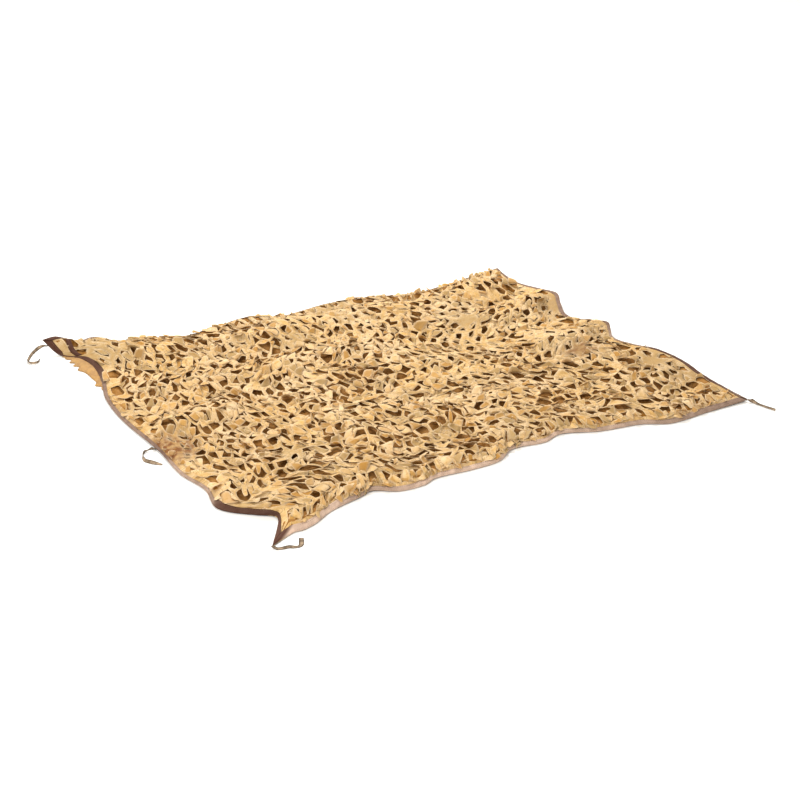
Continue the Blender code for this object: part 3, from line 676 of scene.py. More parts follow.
class Gaps:
    """The leaf-cut net as it is opened flat, and the leaves that its cuts leave."""

    def __init__(self):
        self.chance = numpy.random.default_rng(CUT_SEED)
        self.net = bmesh.new()
        self.edge_highlight_mark = self.net.verts.layers.float.new("edge")
        self.shade_mark = self.net.verts.layers.float.new("shade")
        self.gaps = []

    def rule_cells(self):
        """Divide the cloth into staggered six-sided cells, pulled a little out of line."""
        columns = 2 * GAP_COLUMNS
        bmesh.ops.create_grid(self.net, x_segments=columns, y_segments=GAP_ROWS, size=0.5)
        steps = {corner: (round((corner.co.x + 0.5) * columns),
                          round((corner.co.y + 0.5) * GAP_ROWS)) for corner in self.net.verts}
        spare = []
        for edge in self.net.edges:
            (column, row), (other_column, other_row) = (steps[corner] for corner in edge.verts)
            if column == other_column and 0 < column < columns:
                if (column + min(row, other_row)) % 2:
                    spare.append(edge)
        step_x = (NET_LENGTH - 2.0 * BINDING_WIDTH) / columns
        step_y = (NET_WIDTH - 2.0 * BINDING_WIDTH) / GAP_ROWS
        for corner, (column, row) in steps.items():
            x = BINDING_WIDTH + column * step_x
            y = BINDING_WIDTH + row * step_y
            if 0 < column < columns and 0 < row < GAP_ROWS:
                zigzag = 1.0 if (column + row) % 2 == 0 else -1.0
                drift = GAP_DRIFT * math.sin(5.1 * x + 3.7 * y)
                shove = self.chance.uniform(-GAP_JITTER, GAP_JITTER, 2)
                x += shove[0] + drift
                y += zigzag * step_y / 6.0 + shove[1] - drift
            corner.co = (x, y, 0.0)
        bmesh.ops.dissolve_edges(self.net, edges=spare, use_verts=False)
        whole = WHOLE_CELL * (NET_LENGTH / GAP_COLUMNS) * (NET_WIDTH / GAP_ROWS)
        self.cells = [face for face in self.net.faces if face.calc_area() > whole]
        corners = set(self.net.verts)
        bmesh.ops.subdivide_edges(self.net, edges=self.net.edges[:], cuts=SIDE_CUTS)
        for corner in self.net.verts:
            if not corner.is_boundary:
                wave = STRIP_WAVE if corner in corners else 0.5 * STRIP_WAVE
                corner.co.z = self.chance.uniform(-wave, wave)
                if corner not in corners:
                    corner.co.x += self.chance.uniform(-SIDE_JITTER, SIDE_JITTER)
                    corner.co.y += self.chance.uniform(-SIDE_JITTER, SIDE_JITTER)
            corner[self.shade_mark] = self.chance.uniform(*STRIP_SHADE)

    def add_hem(self):
        """Run the cloth on under the bindings to its rim."""
        low = BINDING_WIDTH + TOUCH
        for inside in HEM_LINES:
            rim = [edge for edge in self.net.edges if edge.is_boundary]
            grown = bmesh.ops.extrude_edge_only(self.net, edges=rim)["geom"]
            for corner in grown:
                if isinstance(corner, bmesh.types.BMVert):
                    corner.co.z = HEM_DROP
                    for axis, size in enumerate((NET_LENGTH, NET_WIDTH)):
                        if corner.co[axis] < low:
                            corner.co[axis] = inside
                        elif corner.co[axis] > size - low:
                            corner.co[axis] = size - inside

    def open_gaps(self):
        """Cut every cell's gap, with rounded corners and rims that twist up and down."""
        alike = {width: [] for width in STRIP_WIDTHS}
        for cell in self.cells:
            middle = cell.calc_center_median()
            near = min(math.hypot(middle.x - patch.along, middle.y - patch.across) / patch.reach
                       for patch in CLOSED_PATCHES)
            tight = any(math.hypot(middle.x - region.along, middle.y - region.across)
                        < region.reach for region in TIGHT_REGIONS)
            if near > 1.0:
                widths = STRIP_WIDTHS[TIGHT_WIDTHS:] if tight else STRIP_WIDTHS[:-1]
                alike[self.chance.choice(widths)].append(cell)
            elif near > SHUT_MIDDLE:
                alike[STRIP_WIDTHS[-1]].append(cell)
        for width, cells in alike.items():
            bmesh.ops.inset_individual(self.net, faces=cells, thickness=0.5 * width)
        opened = [cell for cells in alike.values() for cell in cells]
        for cell in opened:
            ring = [loop.vert for loop in cell.loops]
            places = [corner.co.copy() for corner in ring]
            for index, corner in enumerate(ring):
                halfway = (places[index - 1] + places[(index + 1) % len(ring)]) * 0.5
                corner.co = places[index].lerp(halfway, CORNER_ROUNDING)
            curls = self.chance.uniform(-1.0, 1.0, GAP_CORNERS + 1)
            curls[-1] = curls[0]
            for index, corner in enumerate(ring):
                share = index / len(ring) * GAP_CORNERS
                corner.co.z = STRIP_CURL * numpy.interp(share, range(GAP_CORNERS + 1), curls)
                # The rim of the gap is marked for the painted highlight along the cut edges
                corner[self.edge_highlight_mark] = 1.0
            self.gaps.append([corner.co.copy() for corner in ring])
        bmesh.ops.delete(self.net, geom=opened, context="FACES_KEEP_BOUNDARY")

    def close_up(self):
        """Split the many-sided faces, order them all, and return the flat mesh and its area."""
        many = [face for face in self.net.faces if len(face.verts) > MANY_SIDES]
        bmesh.ops.poke(self.net, faces=many)
        rest = [face for face in self.net.faces if len(face.verts) > 4]
        bmesh.ops.triangulate(self.net, faces=rest)
        self.net.verts.index_update()
        count = len(self.net.verts)
        self.net.faces.sort(key=lambda face: face.verts[0].index * count + face.verts[1].index)
        area = sum(face.calc_area() for face in self.net.faces)
        return to_mesh(self.net, "leaf cut net"), area


net_cuts = Gaps()
net_cuts.rule_cells()
net_cuts.add_hem()
net_cuts.open_gaps()
net_mesh, net_area = net_cuts.close_up()
mark_patches(net_mesh)
lay_down(net_mesh, net_surface, LOWEST_MIDDLE)
net_sheet = new_piece("leaf_cut_net", thickened(net_mesh, NET_THICKNESS),
                      net_cloth)
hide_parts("net_cloth")


# The leaves. Each is the cloth inside one cut, still joined to the net along one side, or
# two where the cut runs through the middle. They are the same cloth, and each has curled
# by itself: some lie nearly flat in their gap, some stand, some have folded right back.
LEAF_ROWS = 4
LEAF_SPOTS = (-1.0, -0.4, 0.4, 1.0)
LEAF_THICKNESS = 0.020
FLAT_KINDS = (0, 1, 2)
NEARLY_SHUT = 0.33
TWO_LEAVED = 0.52
THIRD_LEAF = 0.40
SHUT_REACH = (0.9, 1.05)
HALF_REACH = (0.5, 0.85)
WHOLE_REACH = (0.8, 1.05)
THIRD_REACH = (0.4, 0.7)
ROOT_LAP = 0.003
LEAF_TILT = (0.0, 0.15)
LEAF_SKEW = (-16.0, 16.0)
LEAF_WIDTH = (1.15, 1.6)
LEAF_LENGTH = (0.85, 1.12)
LEAF_SHADE = (-0.35, 0.35)
LEAVES_LOWEST = 0.0016
TIP_CURVE = 1.5
TAPER_CURVE = 1.4
SLANT_SHIFT = 0.3

# Where a leaf stands on the flat cloth, and its size, kind and shade
LeafPoint = namedtuple("LeafPoint", "along across up tilt turn width reach kind shade")

# The kinds of leaf, from nearly flat to folded right back: the curl in degrees, the share of
# the leaf that it takes, its skew, then the tip's width, slant and point
Leaf = namedtuple("Leaf", "curl root skew tip slant point reach shade weight")
LEAVES = (
    Leaf(4.0, 1.0, 0.0, 0.85, 0.12, 0.10, 1.00, 0.50, 0.12),
    Leaf(10.0, 1.0, 0.2, 0.60, -0.20, 0.10, 1.00, 0.65, 0.13),
    Leaf(20.0, 1.0, 0.3, 0.50, -0.25, 0.20, 1.00, 0.35, 0.13),
    Leaf(30.0, 0.8, -0.3, 0.75, 0.20, 0.00, 0.94, 0.60, 0.11),
    Leaf(42.0, 0.8, 0.35, 0.25, 0.10, 0.20, 0.86, 0.30, 0.09),
    Leaf(56.0, 0.7, -0.35, 0.60, 0.30, 0.10, 0.70, 0.55, 0.07),
    Leaf(100.0, 1.0, 0.30, 0.60, -0.20, 0.05, 0.56, 0.70, 0.05),
    Leaf(135.0, 1.0, -0.25, 0.40, 0.20, 0.15, 0.58, 0.50, 0.05),
    Leaf(152.0, 0.35, 0.15, 0.65, 0.25, 0.00, 0.74, 0.80, 0.07),
    Leaf(167.0, 0.30, -0.15, 0.30, -0.30, 0.20, 0.78, 0.70, 0.07),
    Leaf(158.0, 0.45, 0.30, 0.80, 0.10, 0.00, 0.66, 0.45, 0.06),
    Leaf(80.0, 0.8, 0.55, 0.25, 0.25, 0.10, 0.60, 0.25, 0.05),
)


def join_rows(shell, rows):
    """Join rows of corners, as many in each, with faces."""
    for lower, upper in zip(rows, rows[1:]):
        for place in range(len(lower) - 1):
            shell.faces.new((lower[place], upper[place], upper[place + 1], lower[place + 1]))


def leaf_blank(leaf, thickness):
    """One leaf, a unit wide at its root and a unit long, curled up from the root."""
    blank = bmesh.new()
    edge_highlight_mark = blank.verts.layers.float.new("edge")
    lines = []
    for spot in LEAF_SPOTS:
        long = 1.0 + leaf.slant * spot - leaf.point * abs(spot) ** TIP_CURVE
        y, z, line = 0.0, 0.0, []
        for row in range(LEAF_ROWS + 1):
            share = row / LEAF_ROWS
            bent = math.radians(leaf.curl) * smooth_step(
                share * (1.0 + leaf.skew * spot) / leaf.root)
            if row:
                y += math.cos(bent) * long / LEAF_ROWS
                z += math.sin(bent) * long / LEAF_ROWS
            half = 0.5 * (1.0 - (1.0 - leaf.tip) * share ** TAPER_CURVE)
            x = half * spot + SLANT_SHIFT * leaf.slant * share ** 2
            corner = blank.verts.new((x, y, z))
            # The outline is marked for the painted highlight along the leaf's cut edges
            corner[edge_highlight_mark] = 1.0 if abs(spot) == 1.0 or row == LEAF_ROWS else 0.0
            line.append(corner)
        lines.append(line)
    join_rows(blank, lines)
    return thickened(to_mesh(blank, "leaf"), thickness)


def copies_tree():
    """Nodes that set a chosen piece on each point, turned and sized as the point says."""
    tree = bpy.data.node_groups.new("pieces on points", "GeometryNodeTree")
    for name, way, kind in (("Geometry", "INPUT", "NodeSocketGeometry"),
                            ("Pieces", "INPUT", "NodeSocketCollection"),
                            ("Finish", "INPUT", "NodeSocketMaterial"),
                            ("Geometry", "OUTPUT", "NodeSocketGeometry")):
        tree.interface.new_socket(name, in_out=way, socket_type=kind)
    start, pieces, place, real, finish, end = (tree.nodes.new(kind) for kind in (
        "NodeGroupInput", "GeometryNodeCollectionInfo", "GeometryNodeInstanceOnPoints",
        "GeometryNodeRealizeInstances", "GeometryNodeSetMaterial", "NodeGroupOutput"))
    for node, switch in ((pieces, "Separate Children"), (pieces, "Reset Children"),
                         (place, "Pick Instance")):
        node.inputs[switch].default_value = True
    for name, kind, socket in (("size", "FLOAT_VECTOR", "Scale"),
                               ("kind", "INT", "Instance Index"),
                               ("turn", "FLOAT_VECTOR", "Rotation")):
        mark = tree.nodes.new("GeometryNodeInputNamedAttribute")
        mark.data_type = kind
        mark.inputs["Name"].default_value = name
        value = mark.outputs["Attribute"]
        if socket == "Rotation":
            turned = tree.nodes.new("FunctionNodeEulerToRotation")
            tree.links.new(value, turned.inputs[0])
            value = turned.outputs[0]
        tree.links.new(value, place.inputs[socket])
    for giver, output, taker, socket in (
            (start, "Geometry", place, "Points"), (start, "Pieces", pieces, "Collection"),
            (pieces, 0, place, "Instance"), (place, "Instances", real, "Geometry"),
            (real, "Geometry", finish, "Geometry"), (start, "Finish", finish, "Material"),
            (finish, "Geometry", end, "Geometry")):
        tree.links.new(giver.outputs[output], taker.inputs[socket])
    return tree


pieces_on_points = copies_tree()


def scattered(name, points, blanks, material):
    """Copies of the cut blanks on points of the flat cloth, as one flat mesh."""
    shelf = bpy.data.collections.new(name + " blanks")
    bpy.context.scene.collection.children.link(shelf)
    for number, blank in enumerate(blanks):
        shelf.objects.link(bpy.data.objects.new("%02d" % number, blank))
    spots = bpy.data.meshes.new(name)
    spots.from_pydata([(point.along, point.across, point.up) for point in points], [], [])
    for mark, kind, field, values in (
            ("turn", "FLOAT_VECTOR", "vector",
             [(point.tilt, 0.0, point.turn) for point in points]),
            ("size", "FLOAT_VECTOR", "vector",
             [(point.width, point.reach, point.reach) for point in points]),
            ("kind", "INT", "value", [(point.kind,) for point in points]),
            ("shade", "FLOAT", "value", [(point.shade,) for point in points])):
        marks = spots.attributes.new(mark, kind, "POINT")
        marks.data.foreach_set(field, [part for value in values for part in value])
    helper = put_in(name + " being made", spots)
    nodes = helper.modifiers.new("copies", "NODES")
    nodes.node_group = pieces_on_points
    given = {"Pieces": shelf, "Finish": material}
    for item in pieces_on_points.interface.items_tree:
        if item.name in given:
            nodes[item.identifier] = given[item.name]
    made = made_plain(helper)
    for old in list(shelf.objects):
        bpy.data.objects.remove(old, do_unlink=True)
    bpy.data.collections.remove(shelf)
    return made


chance = numpy.random.default_rng(CUT_SEED + 1)


def leaf_on(gap, side, share, kinds):
    """A leaf hinged on one side of a gap, reaching a share of the way across it."""
    step = len(gap) // GAP_CORNERS
    first, second = gap[side * step], gap[(side * step + step) % len(gap)]
    middle = sum(gap, Vector()) / len(gap)
    root = (first + second) * 0.5
    inward = Vector((first.y - second.y, second.x - first.x))
    if inward.dot((middle - root).xy) < 0.0:
        inward = -inward
    inward.normalize()
    reach = 2.0 * inward.dot((middle - root).xy) * share
    weights = numpy.array([LEAVES[kind].weight for kind in kinds])
    kind = int(chance.choice(kinds, p=weights / weights.sum()))
    leaf = LEAVES[kind]
    skewed = math.radians(chance.uniform(*LEAF_SKEW))
    return LeafPoint(
        root.x - inward.x * ROOT_LAP, root.y - inward.y * ROOT_LAP, root.z,
        chance.uniform(*LEAF_TILT),
        math.atan2(inward.y, inward.x) - 0.5 * math.pi + skewed,
        (second - first).length * chance.uniform(*LEAF_WIDTH),
        reach * leaf.reach * chance.uniform(*LEAF_LENGTH), kind,
        min(max(leaf.shade + chance.uniform(*LEAF_SHADE), 0.0), 1.0))


all_kinds = range(len(LEAVES))
leaf_points = []
for gap in net_cuts.gaps:
    side, luck = int(chance.integers(GAP_CORNERS)), chance.uniform()
    if luck < NEARLY_SHUT:
        leaf_points.append(leaf_on(gap, side, chance.uniform(*SHUT_REACH), FLAT_KINDS))
    elif luck < NEARLY_SHUT + TWO_LEAVED:
        for other in (side, (side + GAP_CORNERS // 2) % GAP_CORNERS):
            leaf_points.append(leaf_on(gap, other, chance.uniform(*HALF_REACH), all_kinds))
    else:
        leaf_points.append(leaf_on(gap, side, chance.uniform(*WHOLE_REACH), all_kinds))
    if chance.uniform() < THIRD_LEAF:
        after = (side + 1) % GAP_CORNERS
        leaf_points.append(leaf_on(gap, after, chance.uniform(*THIRD_REACH), all_kinds))

# Leaves of the outermost cuts, which have tipped out over the bindings. Where the back rim
# stands up they show above it, and along the front some hang past it.
# Each row: the side, the stretch of it, the leaves' spacing, their kinds and their length
RIM_LEAVES = (
    ("back", 0.50, 0.78, 0.040, (2, 3, 8), 0.034),
    ("back", 0.95, 1.10, 0.040, (2, 3, 4, 8), 0.028),
    ("back", 1.30, 1.46, 0.040, (3, 4), 0.030),
    ("back", 1.86, 2.94, 0.036, (2, 3, 4, 5, 8), 0.030),
    ("front", 0.10, 0.40, 0.040, (1, 2, 4, 7, 8, 11), 0.026),
    ("front", 0.40, 2.92, 0.045, (1, 2, 4, 8, 11), 0.032),
    ("front", 0.49, 0.62, 0.030, (1, 2, 8), 0.054),
    ("front", 0.80, 0.88, 0.030, (1, 2, 8), 0.054),
    ("front", 1.42, 1.62, 0.034, (1, 2, 8), 0.054),
    ("left", 0.50, 1.80, 0.070, (1, 2, 4, 8, 11), 0.024),
    ("right", 1.30, 1.60, 0.050, (1, 2, 3, 8), 0.022),
    ("right", 0.95, 1.15, 0.050, (1, 2, 8, 11), 0.022),
)
RIM_TURNS = {"back": 0.0, "front": math.pi, "left": 0.5 * math.pi, "right": -0.5 * math.pi}
RIM_PAST = (0.002, 0.016)
RIM_UP = 0.0012
RIM_TILT = (0.16, 0.32)
RIM_SKEW = (-0.7, 0.7)
RIM_WIDTH = (0.036, 0.070)
RIM_LENGTH = (0.7, 1.25)
RIM_SHADE = (0.1, 0.9)


def beside(side, inside, spot):
    """Place in the flat net so far inside one of its sides, at a spot along it."""
    return {"left": (inside, spot), "right": (NET_LENGTH - inside, spot),
            "front": (spot, inside), "back": (spot, NET_WIDTH - inside)}[side]


for side, start, end, spacing, kinds, length in RIM_LEAVES:
    for spot in numpy.arange(start, end, spacing):
        spot += chance.uniform(-0.5, 0.5) * spacing
        root = beside(side, BINDING_WIDTH + chance.uniform(*RIM_PAST), spot)
        kind = int(chance.choice(kinds))
        leaf_points.append(LeafPoint(
            *root, RIM_UP, chance.uniform(*RIM_TILT), RIM_TURNS[side] + chance.uniform(*RIM_SKEW),
            chance.uniform(*RIM_WIDTH), length * chance.uniform(*RIM_LENGTH), kind,
            chance.uniform(*RIM_SHADE)))

# The far left corner is folded over, and its leaves are on the hidden side of the fold
FOLDED_ALONG = 0.15
FOLDED_ACROSS = 2.27
leaf_points = [point for point in leaf_points
               if point.along > FOLDED_ALONG or point.across < FOLDED_ACROSS]

leaf_blanks = [leaf_blank(leaf, LEAF_THICKNESS) for leaf in LEAVES]
leaf_mesh = scattered("leaves", leaf_points, leaf_blanks, net_cloth)
mark_patches(leaf_mesh)
lay_down(leaf_mesh, net_surface, LEAVES_LOWEST)
net_leaves = new_piece("net_leaves", leaf_mesh, net_cloth)


# The raw rim. Along the far part of the left side the net's cloth runs out past its
# binding, unhemmed, as a ragged strip with short points. It lies on the ground.
RAW_START = 1.85
RAW_END = 2.36
RAW_STEP = 0.008
RAW_LINE = -1.370
RAW_HEIGHT = 0.0026
RAW_INSIDE = 0.012
RAW_LEAST = 0.016
RAW_EASE = 0.05
RAW_POINT = 0.024
RAW_POINTS = 31.0
RAW_UNEVEN = 17.0
RAW_SHADE = 0.70
RAW_BROWN = 0.45
RAW_SPOTS = (0.0, 0.4, 0.75, 1.0)
raw = bmesh.new()
raw_layer = raw.loops.layers.uv.new("flat")
rows = []
for across in numpy.arange(RAW_START, RAW_END, RAW_STEP):
    x, y, height = (value[0] for value in
                    laid_plan(numpy.array([RAW_INSIDE]), numpy.array([across]))[:3])
    ease = min(1.0, min(across - RAW_START, RAW_END - across) / RAW_EASE)
    wave = math.sin(RAW_POINTS * across + 2.0 * math.sin(RAW_UNEVEN * across))
    least = x - RAW_LEAST
    outer = min(least, least * (1.0 - ease) + (RAW_LINE - RAW_POINT * abs(wave) ** 2) * ease)
    rows.append([raw.verts.new((x + (outer - x) * spot, y, RAW_HEIGHT + height * (1.0 - spot)))
                 for spot in RAW_SPOTS])
join_rows(raw, rows)
for face in raw.faces:
    for loop in face.loops:
        loop[raw_layer].uv = loop.vert.co.xy
raw_mesh = thickened(to_mesh(raw, "raw rim"), NET_THICKNESS)
mark_points(raw_mesh, "shade", [RAW_SHADE] * len(raw_mesh.vertices))
# The raw rim's own colour is darkened with the dark brown that paints shade in the patches
mark_points(raw_mesh, "worn", [RAW_BROWN] * len(raw_mesh.vertices))
net_raw_rim = new_piece("net_raw_rim", raw_mesh, net_cloth)


# The under cloth. The brown cloth that shows in every gap: one plain-woven sheet, slit like
# the net, though its slits hardly open. It lies on the ground, and rises with the net to
# the bindings, which hold both.
UNDER_INSET = 0.022
UNDER_THICKNESS = 0.0012
UNDER_SIZE = (NET_LENGTH - 2.0 * UNDER_INSET, NET_WIDTH - 2.0 * UNDER_INSET)
UNDER_COLUMNS = 110
UNDER_ROWS = 92
UNDER_MIDDLE = 0.0006
UNDER_FOLLOW = 0.75
UNDER_FREE = 0.012
UNDER_CRUMPLE = 0.12
SEWN_START = 0.045
SEWN_REACH = 0.12
SEWN_GAP = 0.0020
DARK_BROWN = (0.240, 0.098, 0.012, 1.0)
MID_BROWN = (0.400, 0.192, 0.052, 1.0)
RED_BROWN = (0.400, 0.220, 0.095, 1.0)

under_finish = Finish("brown under cloth")
under_cloud = under_finish.clouds(16.0, 0.36, 0.62)
under_fleck = under_finish.clouds(85.0, 0.50, 0.68, shift=3.0)
under_colour = under_finish.layered(
    DARK_BROWN,
    (under_cloud, MID_BROWN),
    (under_fleck * 0.6, RED_BROWN),
    # Painted highlight: the under leaves' cut edges are redder
    (under_finish.marked("edge") * 0.5, RED_BROWN))
brown_cloth = under_finish.finished(
    under_colour, under_cloud * 0.08 + 0.86, under_finish.threads(0.0026) + under_fleck * 1.5,
    0.0005)


def under_surface(along, across):
    """Where points of the under cloth lie, by their place in the flat net."""
    x, y, height, inside = laid_plan(along, across)
    loose = UNDER_FOLLOW * numpy.maximum(height - UNDER_FREE, 0.0) + UNDER_CRUMPLE * crumples(x, y)
    sewn = numpy.maximum(net_surface(along, across)[:, 2] - SEWN_GAP - UNDER_MIDDLE, 0.0)
    held = 1.0 - smooth_step((inside - SEWN_START) / SEWN_REACH)
    return numpy.stack((x, y, UNDER_MIDDLE + loose * (1.0 - held) + sewn * held), axis=1)


under = bmesh.new()
bmesh.ops.create_grid(under, x_segments=UNDER_COLUMNS, y_segments=UNDER_ROWS, size=0.5)
for corner in under.verts:
    corner.co.x = UNDER_INSET + (corner.co.x + 0.5) * UNDER_SIZE[0]
    corner.co.y = UNDER_INSET + (corner.co.y + 0.5) * UNDER_SIZE[1]
under_mesh = to_mesh(under, "under cloth")
lay_down(under_mesh, under_surface, UNDER_MIDDLE)
under_sheet = new_piece("brown_under_cloth", thickened(under_mesh, UNDER_THICKNESS),
                        brown_cloth)
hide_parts("under_cloth")

# The under cloth's own slits: short brown leaves that have lifted a little
UNDER_LEAVES = 620
UNDER_KINDS = (0, 1, 2)
UNDER_MARGIN = 0.08
UNDER_LEAF_WIDTH = (0.03, 0.05)
UNDER_LEAF_LENGTH = (0.022, 0.036)
UNDER_LEAF_THICKNESS = 0.028
chance = numpy.random.default_rng(CUT_SEED + 2)
under_points = [
    LeafPoint(chance.uniform(UNDER_MARGIN, NET_LENGTH - UNDER_MARGIN),
              chance.uniform(UNDER_MARGIN, NET_WIDTH - UNDER_MARGIN), UNDER_MIDDLE, 0.0,
              chance.uniform(0.0, 2.0 * math.pi), chance.uniform(*UNDER_LEAF_WIDTH),
              chance.uniform(*UNDER_LEAF_LENGTH), int(chance.choice(UNDER_KINDS)),
              chance.uniform(0.0, 1.0))
    for leaf in range(UNDER_LEAVES)]
under_blanks = [leaf_blank(LEAVES[kind], UNDER_LEAF_THICKNESS) for kind in UNDER_KINDS]
under_leaf_mesh = scattered("under leaves", under_points, under_blanks, brown_cloth)
lay_down(under_leaf_mesh, under_surface, UNDER_MIDDLE)
under_leaves = new_piece("under_cloth_leaves", under_leaf_mesh, brown_cloth)


# Bindings. Four lengths of brown woven tape, folded over the hem of both cloths and sewn
# down, with mitred corners. Their colour carries painted light and shade: pale pinkish tan
# where light falls on them and dark brown where they are in shade, unevenly in small clouds.
# At the near corner they run out into a small pointed tail.
DARK_TAPE = (0.085, 0.034, 0.022, 1.0)
LIT_TAPE = (0.84, 0.62, 0.48, 1.0)
BINDING_STEP = 0.011
BINDING_THICKNESS = 0.0012
BINDING_WAVE = 0.0014
BINDING_WAVES = (41.0, 97.0)
BINDING_RISE = 0.35

# The folded tape's section, from its upper inner edge round the hem and back under it: each
# corner's distance inside the net's rim, and its height
BINDING_SECTION = (
    (0.0360, 0.0016), (0.0300, 0.0028), (0.0200, 0.0034), (0.0100, 0.0030), (0.0020, 0.0021),
    (-0.0024, 0.0), (0.0020, -0.0026), (0.0120, -0.0038), (0.0300, -0.0042),
)

# The sides, and along each, by shares of its length, how much painted light falls on the
# tape, from dark brown in painted shade (0) to pale where lit (1), and how wide it shows
Side = namedtuple("Side", "name reach flipped tones")
BINDING_SIDES = (
    Side("left", NET_WIDTH, False, (
        (0.0, 0.0, 0.022), (0.02, 0.0, 0.015), (0.045, 0.02, 0.015), (0.07, 0.02, 0.036),
        (0.17, 0.02, 0.036), (0.20, 0.50, 0.018), (0.36, 0.55, 0.018), (0.40, 0.15, 0.014),
        (0.50, 0.35, 0.020), (0.66, 0.35, 0.022), (0.78, 0.25, 0.022), (0.81, 0.02, 0.036),
        (0.91, 0.02, 0.036), (0.93, 0.02, 0.014), (0.95, 0.02, 0.014), (0.965, 0.0, 0.030),
        (1.0, 0.0, 0.036))),
    Side("right", NET_WIDTH, True, (
        (0.0, 0.20, 0.030), (0.10, 0.02, 0.036), (0.32, 0.02, 0.034), (0.35, 0.45, 0.020),
        (0.45, 0.45, 0.020), (0.50, 0.15, 0.026), (0.58, 0.15, 0.026), (0.66, 0.30, 0.034),
        (1.0, 0.25, 0.030))),
    Side("front", NET_LENGTH, True, (
        (0.0, 0.0, 0.024), (0.009, 0.02, 0.024), (0.015, 0.90, 0.028), (0.13, 1.00, 0.034),
        (0.16, 0.60, 0.022), (0.24, 0.60, 0.026), (0.30, 0.95, 0.024), (0.55, 0.90, 0.026),
        (0.75, 0.70, 0.024), (1.0, 0.30, 0.030))),
    Side("back", NET_LENGTH, False, (
        (0.0, 0.0, 0.036), (0.04, 0.0, 0.036), (0.06, 0.35, 0.050), (0.10, 0.40, 0.050),
        (0.13, 0.15, 0.026), (0.26, 0.15, 0.026), (0.28, 0.02, 0.046), (0.31, 0.02, 0.046),
        (0.33, 0.15, 0.026), (0.37, 0.25, 0.026), (0.39, 0.30, 0.052), (0.44, 0.30, 0.052),
        (0.46, 0.20, 0.026), (1.0, 0.20, 0.030))),
)


def band(side, share):
    """How much painted light a side's tape has, and how wide it shows, at a share of its length."""
    shares, tones, widths = zip(*side.tones)
    return numpy.interp(share, shares, tones), numpy.interp(share, shares, widths)


def on_tape(side, inside, share):
    """Place in the flat net, on a side's tape, which is mitred at its ends."""
    return beside(side.name, inside, inside + share * (side.reach - 2.0 * inside))


tape_finish = Finish("woven binding tape")
tape_ribs = tape_finish.threads(0.0030, 0.9)
tape_wear = tape_finish.clouds(26.0, 0.30, 0.72)
# Painted light and shade: lit pinkish tan over the dark brown, by the tape's painted light
tape_light_and_wear = tape_finish.marked("tone") * (tape_wear * 0.25 + 0.75) + tape_wear * 0.04
tape_colour = tape_finish.layered(
    DARK_TAPE, (tape_light_and_wear, LIT_TAPE), ((tape_ribs * 0.5 + 0.5) * 0.15, DARK_TAPE))
tape_cloth = tape_finish.finished(tape_colour, tape_wear * 0.1 + 0.76, tape_ribs, 0.0004)


def sewn_tape(name, tape):
    """Finish a tape that is built flat, laid where the net lies."""
    mesh = to_mesh(tape, name)
    lay_down(mesh, net_surface, 0.5 * BINDING_THICKNESS)
    return new_piece(name, thickened(mesh, BINDING_THICKNESS), tape_cloth)


for side in BINDING_SIDES:
    count = round(side.reach / BINDING_STEP)
    tape = bmesh.new()
    painted_light_mark = tape.verts.layers.float.new("tone")
    rows = []
    for step in range(count + 1):
        share = step / count
        spot = share * side.reach
        wave = BINDING_WAVE * (math.sin(BINDING_WAVES[0] * spot)
                               + math.sin(BINDING_WAVES[1] * spot + 1.0))
        tone, width = band(side, share)
        row = []
        for inside, up in BINDING_SECTION:
            rise = up + (BINDING_RISE * wave if up > 0.0 else 0.0)
            rise *= 1.0 + max(1.0 - spot / TAIL_BASE[1], 0.0)
            corner = tape.verts.new((*on_tape(side, inside * width / BINDING_WIDTH, share), rise))
            corner[painted_light_mark] = tone
            row.append(corner)
        rows.append(row)
    join_rows(tape, rows)
    if side.flipped:
        bmesh.ops.reverse_faces(tape, faces=tape.faces[:])
    binding = sewn_tape("binding_" + side.name + "_tape", tape)
    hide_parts("binding_" + side.name)

# At the far left corner the net is folded over, and a short end of the same tape crosses it
# along the fold, from the back binding to the left one
FOLD_TAPE_START = (0.135, 2.492)
FOLD_TAPE_END = (0.030, 2.285)
FOLD_TAPE_STEPS = 12
FOLD_TAPE_SECTION = (
    (-0.013, 0.0012), (-0.007, 0.0030), (0.0, 0.0036), (0.007, 0.0030), (0.013, 0.0012))
fold_start, fold_end = Vector(FOLD_TAPE_START), Vector(FOLD_TAPE_END)
fold_side = (fold_end - fold_start).normalized().orthogonal()
fold_tape = bmesh.new()
# Its painted light stays at 0, so it shows the dark brown of tape in shade
fold_tape.verts.layers.float.new("tone")
rows = []
for step in range(FOLD_TAPE_STEPS + 1):
    middle = fold_start.lerp(fold_end, step / FOLD_TAPE_STEPS)
    rows.append([fold_tape.verts.new((*(middle + fold_side * out), up))
                 for out, up in FOLD_TAPE_SECTION])
join_rows(fold_tape, rows)
sewn_tape("corner_fold_tape", fold_tape)


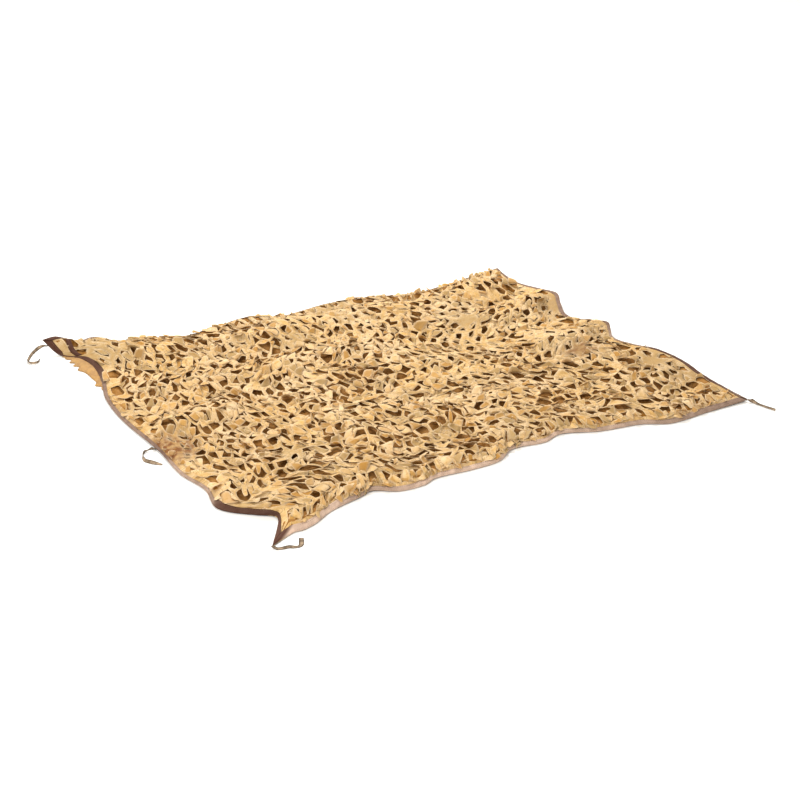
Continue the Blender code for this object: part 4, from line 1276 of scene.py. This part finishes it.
# Stitching. Two rows of long stitches in pale thread hold each binding, one near each of
# the tape's edges.
STITCH_PITCH = 0.012
STITCH_LENGTH = 0.0080
STITCH_WIDTH = 0.0012
STITCH_ROWS = (0.18, 0.82)
STITCH_UP = 0.0041
STITCH_LOWEST = 0.0006
THREAD = (0.36, 0.25, 0.17, 1.0)
thread_finish = Finish("binding thread")
thread_wear = thread_finish.mottle(60.0)
thread_cloth = thread_finish.finished(
    thread_finish.layered(THREAD, (thread_wear, DARK_TAPE)), thread_wear * 0.2 + 0.6,
    thread_finish.threads(0.001, 1.0), 0.0002)
stitch = bmesh.new()
bmesh.ops.create_icosphere(stitch, subdivisions=1, radius=0.5)
stitch_blank = to_mesh(stitch, "stitch")
stitch_points = []
for side in BINDING_SIDES:
    count = round((side.reach - 2.0 * BINDING_WIDTH) / STITCH_PITCH)
    turn = 0.0 if side.reach == NET_LENGTH else 0.5 * math.pi
    for row in STITCH_ROWS:
        for number in range(count):
            share = (number + 0.5) / count
            stitch_points.append(LeafPoint(
                *on_tape(side, row * band(side, share)[1], share), STITCH_UP, 0.0, turn,
                STITCH_LENGTH, STITCH_WIDTH, 0, 0.5))
stitch_mesh = scattered("stitches", stitch_points, [stitch_blank], thread_cloth)
lay_down(stitch_mesh, net_surface, STITCH_LOWEST)
stitch_mesh.polygons.foreach_set("use_smooth", [True] * len(stitch_mesh.polygons))
new_piece("binding_stitches", stitch_mesh, thread_cloth)


# The ground and the light: a plain pale floor, a broad soft lamp behind and above the net's
# far side, a weaker one to its left, and pale light from all round.
FLOOR_HALF = 40.0
FLOOR_COLOUR = (0.90, 0.90, 0.90, 1.0)
FLOOR_ROUGHNESS = 0.9
LAMP_COLOUR = (1.0, 0.99, 0.97)
ROOM_COLOUR = (1.0, 0.95, 0.86, 1.0)
ROOM_STRENGTH = 0.83
floor_mesh = bpy.data.meshes.new("floor")
floor_mesh.from_pydata([(x * FLOOR_HALF, y * FLOOR_HALF, 0.0)
                        for x, y in ((-1, -1), (1, -1), (1, 1), (-1, 1))], [], [(0, 1, 2, 3)])
floor = put_in("floor", floor_mesh)
floor_paint = bpy.data.materials.new("pale floor")
floor_paint.use_nodes = True
floor_shader = floor_paint.node_tree.nodes["Principled BSDF"]
floor_shader.inputs["Base Color"].default_value = FLOOR_COLOUR
floor_shader.inputs["Roughness"].default_value = FLOOR_ROUGHNESS
floor_mesh.materials.append(floor_paint)

Lamp = namedtuple("Lamp", "place size power")
for number, lamp in enumerate((Lamp((2.0, 5.5, 6.0), 3.6, 720.0),
                               Lamp((-6.0, -4.0, 5.5), 4.0, 440.0))):
    light_data = bpy.data.lights.new("soft lamp %d" % number, "AREA")
    light_data.shape = "DISK"
    light_data.size = lamp.size
    light_data.energy = lamp.power
    light_data.color = LAMP_COLOUR
    light = put_in("soft lamp %d" % number, light_data)
    light.location = lamp.place
    light.rotation_euler = (-Vector(lamp.place)).to_track_quat("-Z", "Y").to_euler()
world = bpy.data.worlds.new("pale room")
world.use_nodes = True
world.node_tree.nodes["Background"].inputs["Color"].default_value = ROOM_COLOUR
world.node_tree.nodes["Background"].inputs["Strength"].default_value = ROOM_STRENGTH
bpy.context.scene.world = world
